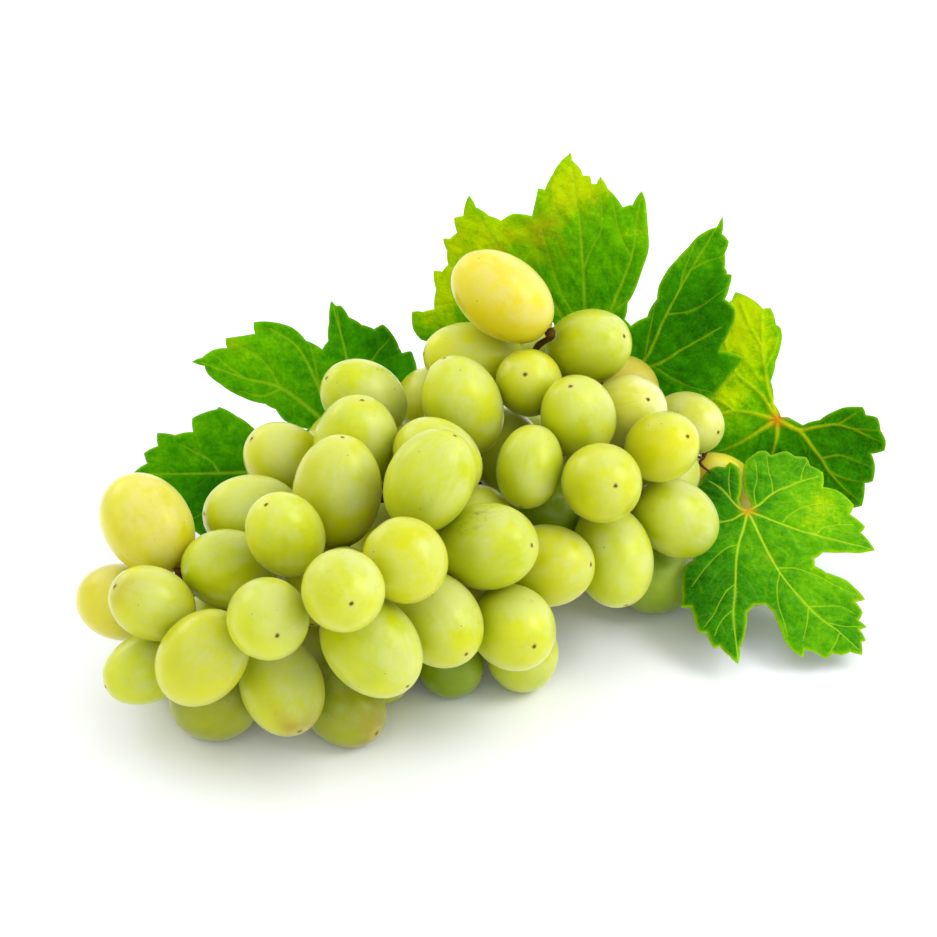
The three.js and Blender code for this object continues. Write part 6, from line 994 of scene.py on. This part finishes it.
def skin_material(name, main, light, shade, bloom, haze_colour=(0.485, 0.535, 0.25)):
    """Grape skin: translucent flesh with lengthwise fibres under a patchy waxy bloom, with specks and a corky scar."""
    m, nt, bsdf = new_material(name)
    tc = nt.nodes.new("ShaderNodeTexCoord").outputs["Object"]
    scar, halo, flush, tone = channels(nt)
    wear_and_shade = attribute(nt, "wear_and_shade")
    grain = attribute(nt, "grain", "Vector")
    painted_highlight = attribute(nt, "painted_highlight")
    wide = ramp(nt, noise(nt, tc, 52, 2.0), [(0.34, 0.0), (0.66, 1.0)])
    colour = mix(nt, wide, main, light)
    colour = mix(nt, ramp(nt, noise(nt, tc, 120, 4.0, 0.6), [(0.42, 0.0), (0.72, 0.55)]), colour, shade)
    # some berries are riper than others
    ripe = ramp(nt, tone, [(0.35, 0.0), (0.80, 0.55)])
    colour = mix(nt, ripe, colour, (main[0] * 1.28, main[1] * 1.06, main[2]))
    # fibres of the flesh, from tip to stalk
    fibre = ramp(nt, noise(nt, grain, 3.4, 5.0, 0.6), [(0.40, 0.0), (0.74, 1.0)])
    colour = mix(nt, math_node(nt, "MULTIPLY", fibre, 0.45), colour, light)
    # where it lies against its neighbours or the floor the bloom is rubbed off, and the skin is darkened towards the
    # shade colour: painted shade in the gaps
    edge = math_node(nt, "MULTIPLY", wear_and_shade, ramp(nt, noise(nt, tc, 150, 4.0, 0.6), [(0.30, 0.45), (0.60, 1.0)]))
    colour = mix(nt, math_node(nt, "MULTIPLY", edge, 0.40), colour, shade)
    # bloom: one or two wide patches on a berry, broken up at their edges, rubbed off elsewhere
    patch = noise(nt, tc, 84, 3.0, 0.55)
    broken = math_plain(nt, "MULTIPLY", math_plain(nt, "SUBTRACT", noise(nt, tc, 290, 6.0, 0.68), 0.5), 0.62)
    rubbed = ramp(nt, math_plain(nt, "ADD", patch, broken), [(0.34, 0.0), (0.60, 1.0)])
    streak = ramp(nt, noise(nt, grain, 6.5, 4.0, 0.6), [(0.35, 0.70), (0.60, 1.0)])
    film = math_node(nt, "MULTIPLY", rubbed, streak)
    # more pale bloom on the side towards the window lamp: painted highlight
    film = math_node(nt, "MULTIPLY", film, math_node(nt, "ADD", 0.09, math_node(nt, "MULTIPLY", painted_highlight, 0.91)))
    film = math_node(nt, "MULTIPLY", film, math_node(nt, "SUBTRACT", 1.0, math_node(nt, "MULTIPLY", edge, 0.9)))
    colour = mix(nt, math_node(nt, "MULTIPLY", film, bloom), colour, haze_colour)
    colour = mix(nt, math_node(nt, "MULTIPLY", flush, 0.75), colour, (0.24, 0.115, 0.006))
    # scuffs and specks
    scuff = math_node(nt, "MULTIPLY", ramp(nt, noise(nt, tc, 75, 3.0), [(0.66, 0.0), (0.72, 1.0)]), ramp(nt, noise(nt, tc, 700, 4.0, 0.7), [(0.50, 0.0), (0.62, 1.0)]))
    colour = mix(nt, math_node(nt, "MULTIPLY", scuff, 0.50), colour, (0.17, 0.12, 0.012))
    v = nt.nodes.new("ShaderNodeTexVoronoi")
    v.inputs["Scale"].default_value = 300
    v.inputs["Randomness"].default_value = 1.0
    nt.links.new(tc, v.inputs["Vector"])
    dot = ramp(nt, v.outputs["Distance"], [(0.035, 1.0), (0.080, 0.0)])
    sep = nt.nodes.new("ShaderNodeSeparateColor")
    nt.links.new(v.outputs["Color"], sep.inputs[0])
    few = ramp(nt, sep.outputs[0], [(0.62, 0.0), (0.66, 1.0)])
    speck = math_node(nt, "MULTIPLY", math_node(nt, "MULTIPLY", dot, few), 0.60)
    colour = mix(nt, speck, colour, (0.09, 0.06, 0.006))
    colour = mix(nt, math_node(nt, "MULTIPLY", halo, 0.35), colour, (0.50, 0.50, 0.12))
    colour = mix(nt, scar, colour, (0.075, 0.030, 0.005))
    nt.links.new(colour, bsdf.inputs["Base Color"])
    rough = mix(nt, film, (0.34, 0.34, 0.34), (0.50, 0.50, 0.50))
    rough = mix(nt, scar, rough, (0.8, 0.8, 0.8))
    nt.links.new(rough, bsdf.inputs["Roughness"])
    bsdf.inputs["Subsurface Weight"].default_value = 0.95
    bsdf.inputs["Subsurface Radius"].default_value = (1.0, 0.9, 0.10)
    bsdf.inputs["Subsurface Scale"].default_value = 0.0120
    bsdf.inputs["Subsurface Anisotropy"].default_value = 0.3
    bsdf.inputs["IOR"].default_value = 1.42
    bsdf.inputs["Specular Tint"].default_value = (0.95, 1.0, 0.25, 1.0)
    bsdf.inputs["Coat Weight"].default_value = 0.80
    bsdf.inputs["Coat Roughness"].default_value = 0.23
    bsdf.inputs["Coat IOR"].default_value = 1.26
    bsdf.inputs["Coat Tint"].default_value = (1.0, 1.0, 1.0, 1.0)
    bsdf.inputs["Sheen Weight"].default_value = 0.22
    bsdf.inputs["Sheen Roughness"].default_value = 0.20
    bsdf.inputs["Sheen Tint"].default_value = (0.97, 1.0, 0.55, 1.0)
    bump(nt, bsdf, noise(nt, tc, 520, 5.0, 0.6), 0.09, 0.0004)
    return m


def stalk_material(name, green, brown):
    m, nt, bsdf = new_material(name)
    tc = nt.nodes.new("ShaderNodeTexCoord").outputs["Object"]
    woody, end, cut, _ = channels(nt)
    n1 = ramp(nt, noise(nt, tc, 160, 4.0), [(0.36, 0.0), (0.64, 1.0)])
    f = math_node(nt, "ADD", math_node(nt, "MULTIPLY", n1, 0.45), math_node(nt, "MULTIPLY", woody, 0.65))
    colour = mix(nt, f, green, brown)
    lent = ramp(nt, noise(nt, tc, 1500, 2.0), [(0.60, 0.0), (0.68, 0.7)])
    colour = mix(nt, math_node(nt, "MULTIPLY", lent, 0.6), colour, (brown[0] * 2.2, brown[1] * 2.4, brown[2] * 3))
    colour = mix(nt, math_node(nt, "MULTIPLY", end, 0.25), colour, (0.10, 0.05, 0.010))
    colour = mix(nt, cut, colour, (0.42, 0.36, 0.18))
    nt.links.new(colour, bsdf.inputs["Base Color"])
    bsdf.inputs["Roughness"].default_value = 0.6
    bsdf.inputs["Specular IOR Level"].default_value = 0.15
    bsdf.inputs["Subsurface Weight"].default_value = 0.1
    bsdf.inputs["Subsurface Radius"].default_value = (1.0, 0.7, 0.3)
    bsdf.inputs["Subsurface Scale"].default_value = 0.001
    bump(nt, bsdf, noise(nt, tc, 700, 4.0), 0.35, 0.0004)
    return m


def leaf_material(name, vein, rim_colour, stem_colour, stops, under=False):
    """Leaf blade: green by its tone, with a fine net of veins, paler veins and edge, and dry spots."""
    m, nt, bsdf = new_material(name)
    tc = nt.nodes.new("ShaderNodeTexCoord").outputs["Object"]
    veins, stem, rim, tone = channels(nt)
    wide = noise(nt, tc, 55, 3.0)
    fine = noise(nt, tc, 420, 5.0, 0.62)
    t = math_node(nt, "ADD", tone, math_plain(nt, "MULTIPLY", math_plain(nt, "SUBTRACT", wide, 0.5), 0.55), clamp=False)
    t = math_node(nt, "ADD", t, math_plain(nt, "MULTIPLY", math_plain(nt, "SUBTRACT", noise(nt, tc, 170, 4.0, 0.6), 0.5), 0.50), clamp=False)
    t = math_node(nt, "ADD", t, math_plain(nt, "MULTIPLY", math_plain(nt, "SUBTRACT", fine, 0.5), 0.60), clamp=False)
    t = math_node(nt, "ADD", t, math_plain(nt, "MULTIPLY", math_plain(nt, "SUBTRACT", noise(nt, tc, 1250, 3.0, 0.6), 0.5), 0.40), clamp=True)
    colour = ramp(nt, t, stops)
    # the net of the finest veins
    v = nt.nodes.new("ShaderNodeTexVoronoi")
    v.feature = "DISTANCE_TO_EDGE"
    v.inputs["Scale"].default_value = 760
    nt.links.new(tc, v.inputs["Vector"])
    net = ramp(nt, v.outputs["Distance"], [(0.01, 1.0), (0.13, 0.0)])
    colour = mix(nt, math_node(nt, "MULTIPLY", net, 0.035), colour, vein)
    sick = nt.nodes.new("ShaderNodeAttribute")
    sick.attribute_name = "spots"
    patch = ramp(nt, noise(nt, tc, 130, 5.0, 0.7), [(0.36, 0.0), (0.60, 1.0)])
    yellow = math_node(nt, "MULTIPLY", sick.outputs["Fac"], patch)
    colour = mix(nt, math_node(nt, "MULTIPLY", yellow, 0.90), colour, (0.38, 0.37, 0.002))
    dry = ramp(nt, noise(nt, tc, 330, 4.0, 0.7), [(0.54, 0.0), (0.64, 1.0)])
    colour = mix(nt, math_node(nt, "MULTIPLY", math_node(nt, "MULTIPLY", dry, sick.outputs["Fac"]), 0.45), colour, (0.22, 0.14, 0.008))
    # a paler edge: partly the margin's own paler green, partly a painted rim highlight
    colour = mix(nt, math_node(nt, "MULTIPLY", rim, 0.55), colour, rim_colour)
    colour = mix(nt, math_node(nt, "MULTIPLY", veins, 0.88), colour, vein)
    colour = mix(nt, math_node(nt, "MULTIPLY", stem, 0.80), colour, stem_colour)
    nt.links.new(colour, bsdf.inputs["Base Color"])
    low, high = ((0.62,) * 3, (0.75,) * 3) if under else ((0.44,) * 3, (0.60,) * 3)
    nt.links.new(mix(nt, fine, low, high), bsdf.inputs["Roughness"])
    bsdf.inputs["Specular IOR Level"].default_value = 0.12
    bsdf.inputs["Specular Tint"].default_value = (0.45, 1.0, 0.05, 1.0)
    bsdf.inputs["Subsurface Weight"].default_value = 0.30
    bsdf.inputs["Subsurface Radius"].default_value = (0.6, 1.0, 0.08)
    bsdf.inputs["Subsurface Scale"].default_value = 0.0012
    height = mix(nt, 0.5, net, noise(nt, tc, 900, 3.0))
    bump(nt, bsdf, height, 0.35, 0.0003)
    return m


SKINS = {
    "green": skin_material("skin_green", (0.410, 0.462, 0.001), (0.500, 0.545, 0.009), (0.325, 0.402, 0.001), 0.66),
    "yellow": skin_material("skin_yellow", (0.52, 0.480, 0.002), (0.58, 0.56, 0.018), (0.49, 0.40, 0.001), 0.60, (0.60, 0.57, 0.30)),
    "olive": skin_material("skin_olive", (0.26, 0.30, 0.001), (0.34, 0.39, 0.008), (0.19, 0.235, 0.001), 0.50, (0.40, 0.45, 0.20)),
    "pale": skin_material("skin_pale", (0.47, 0.495, 0.050), (0.58, 0.595, 0.17), (0.40, 0.445, 0.015), 0.75, (0.62, 0.63, 0.42)),
    # brighter copies of the green and yellow skins for berries that sit in shade: painted light
    "green_painted_light": skin_material("skin_green_painted_light", (0.50, 0.545, 0.003), (0.58, 0.61, 0.020), (0.42, 0.49, 0.002), 0.60),
    "yellow_painted_light": skin_material("skin_yellow_painted_light", (0.66, 0.60, 0.006), (0.72, 0.69, 0.030), (0.62, 0.52, 0.003), 0.55, (0.66, 0.63, 0.30)),
    "ripe": skin_material("skin_ripe", (0.40, 0.345, 0.002), (0.47, 0.42, 0.012), (0.36, 0.27, 0.001), 0.40, (0.46, 0.43, 0.16)),
    # darker green: berry_24's own deep colour, and painted shade on berry_41 and berry_42, which sit in shadow
    "deep": skin_material("skin_deep", (0.16, 0.25, 0.001), (0.24, 0.35, 0.004), (0.10, 0.18, 0.001), 0.30, (0.34, 0.46, 0.08)),
}
STALK = stalk_material("stalk", (0.080, 0.042, 0.006), (0.058, 0.016, 0.003))
PETIOLE = stalk_material("leaf_stalk", (0.34, 0.33, 0.05), (0.26, 0.10, 0.02))

GREENS = [(0.0, (0.005, 0.092, 0.0001)), (0.36, (0.026, 0.200, 0.0002)), (0.68, (0.110, 0.352, 0.0002)), (1.0, (0.400, 0.540, 0.0004))]
PALE_GREENS = [(0.0, (0.05, 0.13, 0.02)), (0.38, (0.09, 0.20, 0.03)), (0.72, (0.15, 0.30, 0.04)), (1.0, (0.27, 0.42, 0.05))]
LEAF_LOOK = {
    "leaf_left": dict(vein=(0.247, 0.442, 0.008), rim_colour=(0.130, 0.312, 0.003), stem_colour=(0.325, 0.312, 0.026)),
    "leaf_top": dict(vein=(0.260, 0.442, 0.007), rim_colour=(0.221, 0.403, 0.003), stem_colour=(0.325, 0.312, 0.026)),
    "leaf_right_back": dict(vein=(0.56, 0.60, 0.006), rim_colour=(0.156, 0.325, 0.003), stem_colour=(0.520, 0.098, 0.005)),
    "leaf_right_front": dict(vein=(0.468, 0.650, 0.026), rim_colour=(0.338, 0.520, 0.004), stem_colour=(0.546, 0.221, 0.010)),
}

ALL_BERRIES = [(c, d, p, q) for _, _, c, d, p, q in BERRIES] + [tuple(b) for sprig in SPRIGS.values() for b in sprig["berries"]]

# ---------------------------------------------------------------- the bunch
for number, (name, skin, centre, direction, p, q) in enumerate(BERRIES):
    v, f, paint = berry(centre, direction, p, q, 100 + number, SCARS.get(name, 1.0), AMBER.get(name, 0.0), (number * 0.381966) % 1.0)
    obj = make_mesh(name + "_skin", v, f, [SKINS[RIPE_AND_PAINTED_LIGHT.get(name, skin)]], paint=paint)
    add_layers(obj, *skin_marks(v, number))
    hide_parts(name)
    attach(obj, "root")

seed = 500
number = len(BERRIES)
for name, sprig in SPRIGS.items():
    parts, wear_and_shade, grain, painted_highlight = [], [], [], []
    for centre, direction, p, q in sprig["berries"]:
        seed += 1
        parts.append((*berry(centre, direction, p, q, seed, 1.0, 0.0, (seed * 0.381966) % 1.0), 0))
        marks = skin_marks(parts[-1][0], number)
        wear_and_shade.append(marks[0])
        grain.append(marks[1])
        painted_highlight.append(marks[2])
        number += 1
    for points, radii in sprig["twigs"]:
        seed += 1
        parts.append((*limb(points, radii, seed), 1))
    v, f, paint, which = combine(parts)
    obj = make_mesh(name + "_berries", v, f, [SKINS["green"], STALK], which, paint)
    wear_and_shade, grain, painted_highlight = np.concatenate(wear_and_shade), np.vstack(grain), np.concatenate(painted_highlight)
    rest = len(v) - len(wear_and_shade)
    add_layers(obj, np.concatenate([wear_and_shade, np.zeros(rest)]), np.vstack([grain, np.zeros((rest, 3))]), np.concatenate([painted_highlight, np.zeros(rest)]))
    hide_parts(name)
    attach(obj, "root")

parts = []
for points, radii, to_berry in LIMBS:
    seed += 1
    parts.append((*limb(points, radii, seed, collar=bool(to_berry), tone=0.0 if to_berry else 0.2), 0))
v, f, paint, which = combine(parts)
obj = make_mesh("rachis_stalks", v, f, [STALK], which, paint)
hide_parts("rachis")
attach(obj, "root")

for number, (name, leaf) in enumerate(LEAVES.items()):
    look = LEAF_LOOK[name]
    top = leaf_material(name + "_upper", stops=GREENS, **look)
    below = leaf_material(name + "_under", (0.36, 0.42, 0.12), (0.20, 0.32, 0.05), (0.32, 0.22, 0.06), PALE_GREENS, under=True)
    v, f, paint, side, sick = leaf_shape(leaf, 900 + number)
    # the stalk narrows into the underside of the blade where the veins meet
    path = [tuple(vec(leaf["origin"]) - 0.12 * vec(leaf["upper"]))] + list(leaf["petiole"])
    stalk = limb(path, [0.40, 1.10, 0.95, 0.9, 0.9, 0.9, 0.95, 1.0, 1.15], 950 + number, sides=16, cut=True)
    v2, f2, paint2, which = combine([(v, f, paint, 0), (*stalk, 2)])
    obj = make_mesh(name + "_blade", v2, f2, [top, below, PETIOLE], list(side) + [2] * len(stalk[1]), paint2)
    layer = obj.data.attributes.new("spots", "FLOAT", "POINT")
    layer.data.foreach_set("value", np.array(sick + [0.0] * len(stalk[0]), np.float32))
    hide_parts(name)
    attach(obj, "root")

# ---------------------------------------------------------------- floor, light, camera
mesh = bpy.data.meshes.new("floor")
mesh.from_pydata([(-6, -6, 0), (6, -6, 0), (6, 6, 0), (-6, 6, 0)], [], [(0, 1, 2, 3)])
floor = bpy.data.objects.new("floor", mesh)
bpy.context.scene.collection.objects.link(floor)
fm, nt, bsdf = new_material("floor")
bsdf.inputs["Base Color"].default_value = (0.90, 0.91, 0.96, 1)
bsdf.inputs["Roughness"].default_value = 0.22
bsdf.inputs["IOR"].default_value = 1.35
mesh.materials.append(fm)

world = bpy.data.worlds.new("studio")
world.use_nodes = True
world.node_tree.nodes["Background"].inputs[0].default_value = (1.0, 1.0, 1.0, 1)
world.node_tree.nodes["Background"].inputs[1].default_value = WORLD
bpy.context.scene.world = world


def area(name, location, target, size, power, colour=(1, 1, 1)):
    light = bpy.data.lights.new(name, "AREA")
    light.shape = "RECTANGLE"
    light.size, light.size_y = size
    light.energy = power
    light.color = colour
    o = bpy.data.objects.new(name, light)
    o.location = location
    o.rotation_mode = "QUATERNION"
    o.rotation_quaternion = (mathutils.Vector(target) - mathutils.Vector(location)).to_track_quat("-Z", "Y")
    bpy.context.scene.collection.objects.link(o)
    return o


for args in LIGHTS:
    area(*args)

cam = bpy.data.cameras.new("camera")
cam.sensor_width = 36.0
cam.lens = CAMERA_LENS
camera = bpy.data.objects.new("camera", cam)
camera.location = CAMERA_PLACE
camera.rotation_euler = (math.radians(90 - CAMERA_DOWN), 0, 0)
cam.clip_start, cam.clip_end = 0.05, 20
bpy.context.scene.collection.objects.link(camera)
bpy.context.scene.camera = camera
bpy.context.scene.view_settings.view_transform = "Standard"
